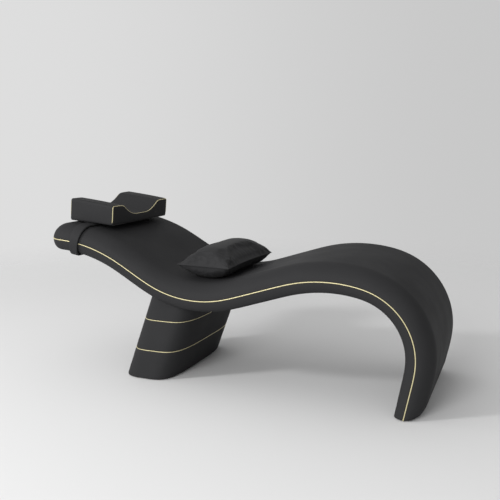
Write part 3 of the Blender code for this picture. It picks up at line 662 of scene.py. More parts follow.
class SlabPath:
    """The line that the side seams follow: straights and arcs, each change of bend eased over a short run.

    The heading is a running mean of the chain's own heading, and the line is the sum of its steps.
    """

    def __init__(self, sizes):
        self.sizes = sizes
        chain = (
            (sizes.shin_length, 0.0),
            (sizes.shin_radius * sizes.shin_sweep, sizes.shin_sweep),
            (sizes.knee_radius * sizes.knee_sweep, sizes.knee_sweep),
            (sizes.thigh_length, 0.0),
            (sizes.seat_radius * sizes.seat_sweep, -sizes.seat_sweep),
            (sizes.back_length, 0.0),
            (sizes.head_radius * sizes.head_sweep, sizes.head_sweep),
            (sizes.head_length, 0.0),
        )
        runs, turns = zip(*chain)
        self.knots = running(runs)
        self.end = self.knots[-1]
        self.start = sizes.foot_clear / math.sin(sizes.foot_heading)
        self.fine = np.linspace(-2 * sizes.ease, self.end + 2 * sizes.ease, HEADING_STEPS)
        value = np.interp(self.fine, self.knots, sizes.foot_heading + running(turns))
        self.total = running((value[1:] + value[:-1]) / 2) * (self.fine[1] - self.fine[0])
        self.trace = np.linspace(0.0, self.end, LINE_STEPS)
        middle = self.heading((self.trace[1:] + self.trace[:-1]) / 2)
        self.x = running(np.cos(middle)) * self.trace[1]
        self.z = running(np.sin(middle)) * self.trace[1]
        outer = self.x + np.sin(self.heading(self.trace)) * sizes.top_depth
        self.shift = COVER_HIGH.x - outer.max()

    def heading(self, along):
        ease = self.sizes.ease
        ahead = np.interp(np.asarray(along) + ease, self.fine, self.total)
        behind = np.interp(np.asarray(along) - ease, self.fine, self.total)
        return (ahead - behind) / (2 * ease)

    def rise(self, along):
        """Direction of the top side as an angle in XZ, turned level near the floor."""
        level = smooth_step(1 - np.asarray(along, float) / self.sizes.foot_blend)
        return (self.heading(along) - math.pi / 2) * (1 - level)

    def at(self, along, y, height):
        """Points at places along the line, across the slab and up from the line."""
        turn = self.rise(along)
        x = np.interp(along, self.trace, self.x) + self.shift + np.cos(turn) * height
        z = np.interp(along, self.trace, self.z) + np.sin(turn) * height
        return together(x, y, z)

    def foot_loss(self, along):
        """What the rounding of the lesser edges takes off at the floor."""
        side = self.sizes.foot_side
        return side * (1 - quarter_circle((along - self.start) / side))

    def nose_share(self, along):
        """Share of its depth that the slab keeps near the head end: a quarter circle."""
        return quarter_circle((self.end - along) / self.sizes.nose)

    def half_width(self, along):
        """Half the width, rounded at the head end's corners and at the floor."""
        corner = self.sizes.nose_corner
        loss = corner * (1 - quarter_circle((self.end - along) / corner))
        return self.sizes.width / 2 - loss - self.foot_loss(along)

    def top(self, along):
        """Height of the top, with the outer edge at the floor rounded off."""
        loss = self.sizes.foot_edge * (1 - quarter_circle((along - self.start) / self.sizes.foot_rise))
        return (self.sizes.top_depth - loss) * self.nose_share(along)

    def under(self, along):
        """Depth of the underside, thinner towards the foot and rounded off at the floor."""
        sizes = self.sizes
        share = np.clip(along / sizes.under_taper, 0.0, 1.0)
        depth = sizes.under_foot + (sizes.under_depth - sizes.under_foot) * share
        return (depth - self.foot_loss(along)) * self.nose_share(along)

    def stations(self):
        """Places along the line: 7 mm apart, closer at the floor and round the nose."""
        foot = self.start + self.sizes.foot_rise * (1 - np.cos(quarter(FOOT_ROWS)))
        turn = np.linspace(math.pi / 2, NOSE_TIP, NOSE_ROWS)
        nose = self.end - self.sizes.nose * (1 - np.cos(turn))
        return joined(foot, np.linspace(foot[-1], nose[0], BODY_ROWS)[1:-1], nose)


def slab_path():
    return SlabPath(bpy.context.scene.lash_bed_slab)


def slab_side(path, depth, rounding, sign):
    """One side of the slab from seam to seam, as rows of points.

    Across a row: the edge is tucked behind the piping, follows a quarter of an ellipse up the side, then
    lies flat. Puckers ripple along each seam and die away over a few times their height.
    """
    sizes = path.sizes
    along = path.stations()[:, None]
    deep = depth(along)
    share = path.nose_share(along)
    half = path.half_width(along)
    turn = np.linspace(math.asin(TUCK_TOP / sizes.top_depth), math.pi / 2, SIDE_COLUMNS)
    edge_y = half - TUCK_IN * share
    edge_z = np.minimum(TUCK_UP * np.ones_like(along), deep * TUCK_MOST)
    side_y = half - rounding * share * (1 - np.cos(turn))
    side_z = np.maximum(deep * np.sin(turn), edge_z[:, -1:] + LEAST_STEP * np.arange(SIDE_COLUMNS))
    run = along / sizes.pucker_run * 2 * math.pi
    ripple = np.sin(run + 1.3 * np.sin(0.37 * run)) * (0.7 + 0.3 * np.sin(0.213 * run + 1.0))
    fade = np.exp(-np.abs(side_z - PUCKER_LEVEL) / PUCKER_FADE) * share
    side_y = side_y + sizes.pucker * ripple * fade
    flat_y = side_y[:, -1:] * np.linspace(1.0, -1.0, FLAT_COLUMNS)[1:-1]
    flat_z = np.broadcast_to(side_z[:, -1:], flat_y.shape)
    near_y = joined(edge_y, side_y, axis=1)
    near_z = joined(edge_z, side_z, axis=1)
    y = joined(-near_y, -flat_y, near_y[:, ::-1], axis=1)
    z = joined(near_z, flat_z, near_z[:, ::-1], axis=1)
    lip = path.at(along[:1] + LIP_ALONG, y[:1] * LIP_ACROSS, sign * z[:1] * LIP_UP)
    return joined(lip, path.at(along, y, sign * z))


class LASHBED_OT_slab_covers(Operator):
    """Builds the slab's top and underside covers"""

    bl_idname = "lash_bed.slab_covers"
    bl_label = "Slab Covers"

    def execute(self, context):
        path = slab_path()
        sizes = path.sizes
        inside = ["under_pad", "edge_roll_near", "edge_roll_far", "nose_pad"]
        for name, depth, rounding, sign, nodes in (
            ("slab_top", path.top, sizes.top_round, 1.0, ["cover_top", "foam_top"]),
            ("slab_underside", path.under, sizes.under_round, -1.0, ["cover_under", *inside]),
        ):
            points = slab_side(path, depth, rounding, sign)
            faces = grid_faces(*points.shape[:2])
            mesh = surface(name, points, faces if sign > 0 else faces[:, ::-1])
            piece = add_piece(mesh, embossed_leather, "bed", nodes)
            wall(piece, sizes.leather)
        return {"FINISHED"}


class LASHBED_OT_side_piping(Operator):
    """Builds the piping along both sides and round the head end"""

    bl_idname = "lash_bed.side_piping"
    bl_label = "Side Piping"

    def execute(self, context):
        path = slab_path()
        along = path.stations()
        half = path.half_width(along)
        end = np.linspace(-half[-1], half[-1], END_COLUMNS)[1:-1]
        near, far = path.at(along, -half, 0.0), path.at(along, half, 0.0)
        line = joined(near, path.at(np.full_like(end, path.end), end, 0.0), far[::-1])
        radius = context.scene.lash_bed_trim.side_radius
        add_cord("side_piping_cord", line, radius, "bed", "side_piping", closed=False)
        return {"FINISHED"}


# Pedestal

OUTLINE_COLUMNS, OUTLINE_STEPS = 176, 20001
BAND_ROWS, ROLL_ROWS = 26, 8
UNDERSIDE_STEPS = 3000
MEETING_RANGE, HALVINGS = (0.30, 0.55), 40
BAND_RIPPLES, BAND_RIPPLE, BAND_FADE = 40, 0.0002, 0.012
BAND_LIP_IN, BAND_LIP_UP = 0.006, 0.0004
RING_SINK = 0.0012


class LASHBED_OT_pedestal(Operator):
    """Builds the pedestal's leather bands and the piping between them"""

    bl_idname = "lash_bed.pedestal"
    bl_label = "Pedestal"

    def outline(self, sizes, turn, height, inset):
        """A leaning superellipse: each half size times a sine or cosine to two over the squareness."""
        power = 2 / sizes.power
        cosine, sine = np.cos(turn), np.sin(turn)
        x = (sizes.half_length - inset) * np.sign(cosine) * np.abs(cosine) ** power
        y = (sizes.half_width - inset) * np.sign(sine) * np.abs(sine) ** power
        return together(sizes.x + sizes.lean * height + x, y, height)

    def turns(self, sizes):
        """Turns that step evenly round the outline."""
        fine = np.linspace(0.0, 2 * math.pi, OUTLINE_STEPS)
        spots = self.outline(sizes, fine, 0.0, 0.0)
        run = running(np.linalg.norm(np.diff(spots, axis=0), axis=1))
        return np.interp(np.arange(OUTLINE_COLUMNS) / OUTLINE_COLUMNS * run[-1], run, fine)

    def meets_slab(self, sizes, path, turn):
        """Height at which each upright of the outline meets the slab's underside, by halving the interval."""
        along = np.linspace(path.sizes.foot_blend, path.end - path.sizes.nose, UNDERSIDE_STEPS)
        under = path.at(along, 0.0, -path.under(along))[::-1]
        low, high = (np.full_like(turn, height) for height in MEETING_RANGE)
        for _ in range(HALVINGS):
            middle = (low + high) / 2
            x = self.outline(sizes, turn, middle, 0.0)[:, 0]
            below = middle < np.interp(x, under[:, 0], under[:, 2])
            low, high = np.where(below, middle, low), np.where(below, high, middle)
        return low

    def band(self, sizes, turn, bottom, top):
        """A band between two heights: uprights that roll in at both seams by a quarter ellipse, to a lip.

        Puckers are a sine round the outline that falls off from each seam by an exponential.
        """
        arc = quarter(ROLL_ROWS)
        roll_up = (sizes.roll * (1 - np.cos(arc)))[:, None]
        roll_in = sizes.tuck * (1 - np.sin(arc))
        upright = np.linspace(0.0, 1.0, BAND_ROWS)[1:-1, None]
        low, high = bottom + sizes.roll, top - sizes.roll
        heights = joined(bottom + roll_up, low + upright * (high - low), top - roll_up[::-1])
        inset = joined(roll_in, np.zeros(len(upright)), roll_in[::-1])[:, None]
        share = np.arange(len(turn)) / len(turn)
        ripple = np.sin(share * 2 * math.pi * BAND_RIPPLES + 1.7 * np.sin(5 * turn))
        seam = np.minimum(np.abs(heights - bottom), np.abs(top - heights))
        inset = inset + BAND_RIPPLE * ripple * np.exp(-seam / BAND_FADE)
        lips = [
            self.outline(sizes, turn, row, sizes.tuck + BAND_LIP_IN)
            for row in (heights[0] + BAND_LIP_UP, heights[-1] - BAND_LIP_UP)
        ]
        return joined(lips[:1], self.outline(sizes, turn, heights, inset), lips[1:])

    def execute(self, context):
        sizes = context.scene.lash_bed_pedestal
        path = slab_path()
        turn = self.turns(sizes)
        floor, low, high = (np.full_like(turn, z) for z in (sizes.bottom, sizes.seam_low, sizes.seam_high))
        ceiling = self.meets_slab(sizes, path, turn)
        for node, bottom, top in (
            ("band_lower", floor, low),
            ("band_middle", low, high),
            ("band_upper", high, ceiling),
        ):
            points = self.band(sizes, turn, bottom, top)
            mesh = surface("padded_" + node, points, grid_faces(*points.shape[:2], False, True))
            piece = add_piece(mesh, embossed_leather, "bed", [node])
            wall(piece, path.sizes.leather)
        radius = context.scene.lash_bed_trim.ring_radius
        for node, height in (("pedestal_piping_lower", low), ("pedestal_piping_upper", high)):
            add_cord(node + "_cord", self.outline(sizes, turn, height, RING_SINK), radius, "bed", node)
        return {"FINISHED"}


# Headrest

BASE_GAP = 0.0003
DIP_EDGE = 0.10
BLOCK_COUNTS = (48, 104, 20)
ON_FACE = 0.999
TOP_CROWN = 0.6
SIDE_POINTS, SHOULDER_POINTS, DIP_POINTS = 12, 9, 60
LOW_POINTS, LOW_CORNER_POINTS = 30, 7
FRONT_INSET, REAR_INSET, REAR_BACK = 0.0026, 0.0078, 0.0002
CORD_TUCK = 0.008


class RestFrame:
    """The headrest's own axes: it lies on the strap, tangent to the head arc at its heading."""

    def __init__(self, sizes, path):
        turn = path.rise(sizes.strap_at)
        outward = np.array([math.cos(turn), 0.0, math.sin(turn)])
        centre = path.at(sizes.strap_at, 0.0, 0.0) - path.sizes.head_radius * outward
        self.up = np.array([math.sin(sizes.heading), 0.0, -math.cos(sizes.heading)])
        self.to_foot = np.array([-math.cos(sizes.heading), 0.0, -math.sin(sizes.heading)])
        lift = path.sizes.head_radius + path.sizes.top_depth
        lift += sizes.strap_fit + sizes.strap + BASE_GAP - sizes.sink
        self.origin = centre + self.up * lift + self.to_foot * sizes.reach

    def at(self, back, y, height):
        """Points behind the block's foot-side face, across it and above its base."""
        spot = together(back, y, height)
        points = self.origin - spot[..., :1] * self.to_foot + spot[..., 2:] * self.up
        points[..., 1] = y
        return points


def rest_frame():
    return RestFrame(bpy.context.scene.lash_bed_headrest, slab_path())


def dip_height(sizes, back, y):
    """Height of the block's top: shoulders that rise to the head side, and a dip between them.

    The dip's wall is a parabola that runs out flat in the middle. Its edge at the shoulder is rounded by a
    soft maximum.
    """
    share = (sizes.dip_top - np.abs(y)) / (sizes.dip_top - sizes.dip_floor)
    share = np.minimum(soft_positive(share, DIP_EDGE), 1.0)
    return sizes.height + sizes.rise * back / sizes.long - sizes.dip * (1 - (1 - share) ** 2)


class LASHBED_OT_headrest(Operator):
    """Builds the headrest block and the piping on its end edges"""

    bl_idname = "lash_bed.headrest"
    bl_label = "Headrest"

    def block(self, sizes):
        """A rounded box scaled to the dip's height over its base, with a crown on its padded faces."""
        half = (sizes.long / 2, sizes.width / 2, sizes.height / 2)
        cube, box, faces = rounded_box(half, sizes.edge, BLOCK_COUNTS)
        front, ends, top = cube[:, 0] > ON_FACE, np.abs(cube[:, 1]) > ON_FACE, cube[:, 2] > ON_FACE
        back, y, height = half[0] - box[:, 0], box[:, 1], box[:, 2] + half[2]
        share = height / sizes.height
        swell = sizes.crown * arch(share)
        back = back - np.where(front, swell * (1 - (y / half[1]) ** 2), 0.0)
        y = y + np.where(ends, np.sign(y) * swell * arch(back / sizes.long), 0.0)
        crown = np.where(top, TOP_CROWN * sizes.crown * arch(back / sizes.long), 0.0)
        return back, y, share * dip_height(sizes, back, y) + crown, faces

    def edge_line(self, sizes, back, inset, under):
        """The face's outline a little inside it: up the sides, over the shoulders and through the dip.

        It comes back below, where it is tucked in behind the face.
        """
        corner = sizes.edge
        half = sizes.width / 2 - inset
        flat = half - corner
        top = dip_height(sizes, back, half) - inset
        turn, low_turn = quarter(SHOULDER_POINTS), quarter(LOW_CORNER_POINTS)
        side = np.linspace(inset + corner, top - corner, SIDE_POINTS)[1:-1]
        over = np.linspace(flat, 0.0, DIP_POINTS)[1:]
        below = np.linspace(0.0, flat, LOW_POINTS)[:-1]
        y = joined(np.full_like(side, half), flat + corner * np.cos(turn), over)
        z = joined(side, top - corner + corner * np.sin(turn), dip_height(sizes, back, over) - inset)
        low_y = joined(below, flat + corner * np.sin(low_turn))
        low_z = joined(np.full_like(below, inset), inset + corner * (1 - np.cos(low_turn)))
        y = joined(y, -y[::-1][1:], -low_y[::-1], low_y[1:-1])
        z = joined(z, z[::-1][1:], low_z[::-1], low_z[1:-1])
        return back + under * smooth_step(1 - (z - inset) / (2 * corner)), y, z

    def execute(self, context):
        sizes = context.scene.lash_bed_headrest
        rest = rest_frame()
        back, y, height, faces = self.block(sizes)
        mesh = surface("headrest_block", rest.at(back, y, height), faces)
        nodes = ["headrest_cover", "headrest_foam"]
        add_piece(facing_out(mesh), embossed_leather, "headrest", nodes)
        radius = context.scene.lash_bed_trim.rest_radius
        for name, back, inset, under in (
            ("front", FRONT_INSET, FRONT_INSET, CORD_TUCK),
            ("rear", sizes.long - REAR_BACK, REAR_INSET, -CORD_TUCK),
        ):
            line = rest.at(*self.edge_line(sizes, back, inset, under))
            add_cord(f"headrest_{name}_piping", line, radius, "headrest", f"headrest_piping_{name}")
        return {"FINISHED"}


STRAP_EDGE, STRAP_CROWN, STRAP_TOP = 0.0028, 0.0006, 0.9
STRAP_TURNS, STRAP_FLAT = 20, 42
TAB_MARGIN, TAB_HALF, TAB_EDGE, TAB_GAP = 0.002, 0.0015, 0.0012, 0.0009
TAB_COUNTS = (20, 40, 4)


class LASHBED_OT_headrest_strap(Operator):
    """Builds the padded strap round the slab and its closing tab"""

    bl_idname = "lash_bed.headrest_strap"
    bl_label = "Headrest Strap"

    def loop(self, path, fit, trim, along):
        """One line round the slab: quarter ellipses over each edge, joined by the flats above and below."""
        slab = path.sizes
        turn = quarter(STRAP_TURNS)
        half = slab.width / 2 + trim.side_radius + fit
        top_y = half - slab.top_round * (1 - np.cos(turn))
        top_z = (slab.top_depth + fit) * np.sin(turn)
        low_y = (half - slab.under_round * (1 - np.cos(turn)))[1:]
        low_z = (-(slab.under_depth + fit) * np.sin(turn))[1:]
        flat = np.linspace(1.0, -1.0, STRAP_FLAT)[1:-1]
        level = np.ones_like(flat)
        y = joined(top_y, flat * top_y[-1], -top_y[::-1], -low_y, -flat * low_y[-1], low_y[::-1])
        z = joined(top_z, level * top_z[-1], top_z[::-1], low_z, level * low_z[-1], low_z[::-1])
        return path.at(np.full_like(y, along), y, z)

    def execute(self, context):
        sizes = context.scene.lash_bed_headrest
        trim = context.scene.lash_bed_trim
        path = slab_path()
        across, lift = rounded_section(sizes.strap_width / 2, sizes.strap, STRAP_EDGE)
        crown = STRAP_CROWN * (1 - (2 * across / sizes.strap_width) ** 4)
        lift = lift + np.where(lift > STRAP_TOP * sizes.strap, crown, 0.0)
        loops = [
            self.loop(path, sizes.strap_fit + up, trim, sizes.strap_at + aside)
            for aside, up in zip(across, lift)
        ]
        points = np.array(loops).transpose(1, 0, 2)
        mesh = surface("headrest_strap_band", points, grid_faces(*points.shape[:2], True, True))
        nodes = ["headrest_strap"]
        add_piece(facing_out(mesh), embossed_leather, "headrest", nodes)
        half = (sizes.strap_width / 2 - TAB_MARGIN, sizes.tab / 2, TAB_HALF)
        _, tab, faces = rounded_box(half, TAB_EDGE, TAB_COUNTS)
        under = path.sizes.under_depth + sizes.strap_fit + sizes.strap + TAB_GAP + TAB_HALF
        points = path.at(sizes.strap_at + tab[:, 0], tab[:, 1], tab[:, 2] - under)
        mesh = facing_out(surface("closing_tab", points, faces))
        add_piece(mesh, woven_tape, "headrest", ["strap_tab"])
        return {"FINISHED"}


POINTS_PER_TOOTH, CHAIN_COLUMNS = 6, 37
COIL_HALF, COIL_MESH = 0.0034, 0.0007
TAPE_BASE, TAPE_RISE, COIL_RISE = 0.0004, 0.0007, 0.0016
TAPE_EDGE = 0.1
TAPE_WALL = 0.0004
SLIDER_FROM_END = 0.010
SLIDER_BOXES = (  # half sizes, edge, counts, distance out and distance down of body, bridge and pull
    ((0.0024, 0.0052, 0.0062), 0.0018, (6, 10, 12), 0.0046, 0.0),
    ((0.0011, 0.0017, 0.0032), 0.0009, (4, 6, 8), 0.0078, 0.0022),
    ((0.0008, 0.0030, 0.0095), 0.0007, (4, 8, 20), 0.0083, 0.0128),
)


class LASHBED_OT_headrest_zip(Operator):
    """Builds the coil zip at the back of the headrest, and its slider with its pull"""

    bl_idname = "lash_bed.headrest_zip"
    bl_label = "Headrest Zip"

    def chain(self, sizes):
        """The tape with two rows of coils: half ellipses across, raised and lowered by a cosine along it.

        The two rows are half a tooth apart, so that they mesh in the middle.
        """
        count = round(sizes.zip_long / sizes.tooth) * POINTS_PER_TOOTH + 1
        y = np.linspace(-0.5, 0.5, count)[:, None] * sizes.zip_long
        share = joined([-1.0, -0.97], np.linspace(-0.9, 0.9, CHAIN_COLUMNS), [0.97, 1.0])[None, :]
        up = share * sizes.zip_wide / 2
        row = np.sqrt(np.clip(1 - (up / COIL_HALF) ** 2, 0.0, 1.0))
        side = np.clip(up / COIL_MESH, -1.0, 1.0)
        coil = 0.55 + 0.45 * side * np.cos(2 * math.pi * y / sizes.tooth)
        edge = np.clip((1 - np.abs(share)) / TAPE_EDGE, 0.0, 1.0)
        out = TAPE_BASE + TAPE_RISE * np.sqrt(edge) + COIL_RISE * row * coil
        return np.broadcast_arrays(y, up, out)

    def execute(self, context):
        sizes = context.scene.lash_bed_headrest
        rest = rest_frame()
        y, up, out = self.chain(sizes)
        points = rest.at(sizes.long + out, y, sizes.zip_height + up)
        mesh = surface("headrest_zip_chain", points, grid_faces(*y.shape))
        mesh.flip_normals()
        wall(add_piece(mesh, woven_tape, "headrest", ["headrest_zip"]), TAPE_WALL)
        spot = sizes.zip_long / 2 - SLIDER_FROM_END
        parts, faces, total = [], [], 0
        for half, edge, counts, out, lower in SLIDER_BOXES:
            _, box, quads = rounded_box(half, edge, counts)
            box = box + (sizes.long + out, spot, sizes.zip_height - lower)
            parts.append(rest.at(*box.T))
            faces.append(quads + total)
            total += len(box)
        mesh = facing_out(surface("zip_slider_and_pull", joined(*parts), joined(*faces)))
        add_piece(mesh, plated_zinc, "zip_slider", ["zip_slider"])
        return {"FINISHED"}


# Cushion

CUSHION_ROWS, CUSHION_COLUMNS = 53, 99
EDGE_CROWDING = 1.25
LONG_POWER, WIDE_POWER = 1.9, 4.3
UPPER_POWER, LOWER_POWER = 0.38, 0.47
LIFT_POWER, LIFT_FALL = 1.3, 0.225
GATHER_FADE = 0.013
GATHER_WAVE, GATHER_WANDER, GATHER_SECOND = 0.033, 0.21, 0.053
LIP_HALF = 0.0018
SEAT_STEPS = 2000
SEAT_GAP, SEAT_EASE = 0.0008, 0.006


def blown_up(mesh, sizes, pins):
    """Points of a cloth mesh after pressure from inside has taken up its slack, with its seam held."""
    scene = bpy.context.scene
    cloth = bpy.data.objects.new("blowing_up", mesh.copy())
    scene.collection.objects.link(cloth)
    modifier = cloth.modifiers.new("cloth", "CLOTH")
    settings = modifier.settings
    settings.quality = 6
    settings.mass = 0.15
    settings.tension_stiffness = settings.compression_stiffness = sizes.stiffness
    settings.shear_stiffness = sizes.stiffness / 2
    settings.bending_stiffness = 0.05
    settings.air_damping = 3.0
    settings.shrink_min = -sizes.slack
    settings.effector_weights.gravity = 0.0
    settings.use_pressure = True
    settings.uniform_pressure_force = sizes.pressure
    modifier.collision_settings.use_collision = False
    cloth.vertex_groups.new(name="pins").add(np.flatnonzero(pins).tolist(), 1.0, "REPLACE")
    settings.vertex_group_mass = "pins"
    modifier.point_cache.frame_start = 1
    modifier.point_cache.frame_end = sizes.frames
    for step in range(1, sizes.frames + 1):
        scene.frame_set(step)
    shaped = cloth.evaluated_get(bpy.context.evaluated_depsgraph_get()).to_mesh()
    points = np.empty(len(shaped.vertices) * 3, np.float32)
    shaped.vertices.foreach_get("co", points)
    bpy.data.objects.remove(cloth)
    scene.frame_set(1)
    return points.reshape(-1, 3).astype(float)


class LASHBED_OT_cushion(Operator):
    """Builds the loose cushion: two flat panels, sewn together and blown up round their filling"""

    bl_idname = "lash_bed.cushion"
    bl_label = "Cushion"

    def sewn(self, sizes):
        """Two panels on one seam: their height is a power of the product of one less a power of each share.

        The seam curves in between its corners by a share that falls off as a square, and rises towards the
        foot by a power of the share. Rows crowd towards it by a sine.
        """
        u, v = (
            np.sin(np.linspace(-EDGE_CROWDING, EDGE_CROWDING, count)) / math.sin(EDGE_CROWDING)
            for count in (CUSHION_ROWS, CUSHION_COLUMNS)
        )
        u, v = u[:, None], v[None, :]
        x = sizes.long / 2 * u * (1 - sizes.draw_long * (1 - v**2))
        y = sizes.width / 2 * v * (1 - sizes.draw_width * (1 - u**2))
        full = (1 - np.abs(u) ** LONG_POWER) * (1 - np.abs(v) ** WIDE_POWER)
        lift = sizes.lift * ((1 + u) / 2) ** LIFT_POWER * (1 - LIFT_FALL * (1 + v))
        upper = together(x, y, lift + sizes.crown * full**UPPER_POWER)
        lower = together(x, y, lift - sizes.sag * full**LOWER_POWER)
        return upper, lower, together(u * sizes.long / 2, v * sizes.width / 2)

    def filled(self, sizes, upper, lower):
        """Both panels after the filling has pushed them out, each point by no more than the most movement."""
        shape = upper.shape
        count = shape[0] * shape[1]
        seam = np.ones(shape[:2], bool)
        seam[1:-1, 1:-1] = False
        inner = np.flatnonzero(~seam)
        lower_at = np.arange(count)
        lower_at[inner] = count + np.arange(len(inner))
        faces = grid_faces(*shape[:2])
        faces = joined(faces, lower_at[faces[:, ::-1]])
        points = joined(upper.reshape(-1, 3), lower.reshape(-1, 3)[inner])
        pins = joined(seam.ravel(), np.zeros(len(inner), bool))
        moved = blown_up(surface("cushion_first", points, faces), sizes, pins) - points
        moved[count:] *= sizes.settled
        far = np.linalg.norm(moved, axis=1, keepdims=True)
        points = points + moved * np.minimum(1.0, sizes.most / np.maximum(far, 1e-9))
        return points[:count].reshape(shape), points[lower_at].reshape(shape)

    def gathers(self, sizes, flat):
        """Small gathers: two sines along each edge, times the distance from it and a falling exponential."""
        total = 0.0
        for axis, half in enumerate((sizes.long / 2, sizes.width / 2)):
            inward = (half - np.abs(flat[..., axis])) / GATHER_FADE
            run = flat[..., 1 - axis] * 2 * math.pi
            wave = np.sin(run / GATHER_WAVE + 1.5 * np.sin(run / GATHER_WANDER) + 0.7)
            wave = wave + 0.8 * np.sin(run / GATHER_SECOND + 2.1)
            total = total + wave * inward * np.exp(1 - inward)
        return sizes.gather * total

    def lipped(self, upper, lower, flange):
        """The same panels with a lip round them: the edge is carried on outwards, level, to one thin line."""
        middle = (upper + lower) / 2
        edges, inside = [], []
        for count in middle.shape[:2]:
            order = np.arange(count)
            edges.append(joined([0], order, [count - 1]))
            inside.append(joined([2], order, [count - 3]))
        edge = middle[np.ix_(*edges)]
        way = edge - middle[np.ix_(*inside)]
        way[..., 2] = 0.0
        rim = edge + flange * way / np.maximum(np.linalg.norm(way, axis=-1, keepdims=True), 1e-9)
        sheets = []
        for panel, side in ((upper, 1.0), (lower, -1.0)):
            sheet = rim.copy()
            inner = sheet[1:-1, 1:-1]
            inner[:] = panel
            for seam in (inner[0], inner[-1], inner[:, 0], inner[:, -1]):
                seam[..., 2] += side * LIP_HALF
            sheets.append(sheet)
        return np.array(sheets)

    def settle(self, sizes, points):
        """Puts the points in their place on the slab, kept over the seat by a soft maximum."""
        path = slab_path()
        along = np.linspace(path.knots[3], path.knots[6], SEAT_STEPS)
        seat = path.at(along, 0.0, path.sizes.top_depth)[::-1]
        points = points + np.array([sizes.x, 0.0, sizes.z])
        points[:, 2] -= (points[:, 0] - sizes.x) * math.tan(sizes.tilt)
        low = np.interp(points[:, 0], seat[:, 0], seat[:, 2]) + SEAT_GAP
        points[:, 2] = low + soft_positive(points[:, 2] - low, SEAT_EASE)
        return points

    def execute(self, context):
        sizes = context.scene.lash_bed_cushion
        upper, lower, flat = self.sewn(sizes)
        upper, lower = self.filled(sizes, upper, lower)
        gathers = self.gathers(sizes, flat)
        upper[..., 2] += gathers
        lower[..., 2] -= gathers
        sheets = self.lipped(upper, lower, sizes.flange)
        rows, columns = sheets.shape[1:3]
        faces = grid_faces(rows, columns)
        faces = joined(faces, faces[:, ::-1] + rows * columns)
        flat = np.pad(flat, ((1, 1), (1, 1), (0, 0)), mode="edge")
        points = self.settle(sizes, sheets.reshape(-1, 3))
        mesh = facing_out(surface("seat_cushion", points, faces, joined(flat, flat)))
        nodes = ["cushion_panel_upper", "cushion_panel_lower", "cushion_filling"]
        piece = add_piece(mesh, woven_cotton, "cushion", nodes)
        smooth = piece.modifiers.new("smooth", "SUBSURF")
        smooth.levels = smooth.render_levels = 1
        return {"FINISHED"}


# Frame and stage

FRAME_FINISHES = {
    "plywood": birch_ply,
    "frame_steel": powder_coat,
    "rubber": moulded_rubber,
    "zip_tape": woven_tape,
    "zip_metal": plated_zinc,
}
FLOOR_RADII = np.array([0.5, 1.5, 3.0, 5.0, 7.0])
FLOOR_SIDES = 96
BRIGHTER_SIDE = (-0.84, -0.45, -0.30)
CAMERA_RIGHT = (0.926, 0.377, 0.0)
BACKDROP_EDGE = 0.36
# Painted shade of the backdrop: lighter grey on the left, darker grey on the right, where less light falls.
BACKDROP_LIT_LEFT, BACKDROP_SHADED_RIGHT = "#dedede", "#c8c8c8"
KEY_SPOT, KEY_SIZE = (-4.29, -4.29, 3.80), 0.9
FRONT_SPOT, FRONT_SIZE = (-0.60, -6.50, 2.69), 3.0
LIGHT_AIM = (0.0, 0.0, 0.3)
SENSOR = 36.0


class LASHBED_OT_frame_finishes(Operator):
    """Gives the frame, the boards, the glides and the zip their finishes"""

    bl_idname = "lash_bed.frame_finishes"
    bl_label = "Frame Finishes"

    def execute(self, context):
        for part in frame["record"]["subparts"]:
            node = frame["nodes"][part["node"]]
            if node.hide_render:
                continue
            if part["material_slot"] not in FRAME_FINISHES:
                raise RuntimeError(f"no finish for {part['node']}")
            make = FRAME_FINISHES[part["material_slot"]]
            if part["node"] == "headrest_base":
                make = stained_ply
            node.data.materials.clear()
            node.data.materials.append(finish(make))
        return {"FINISHED"}


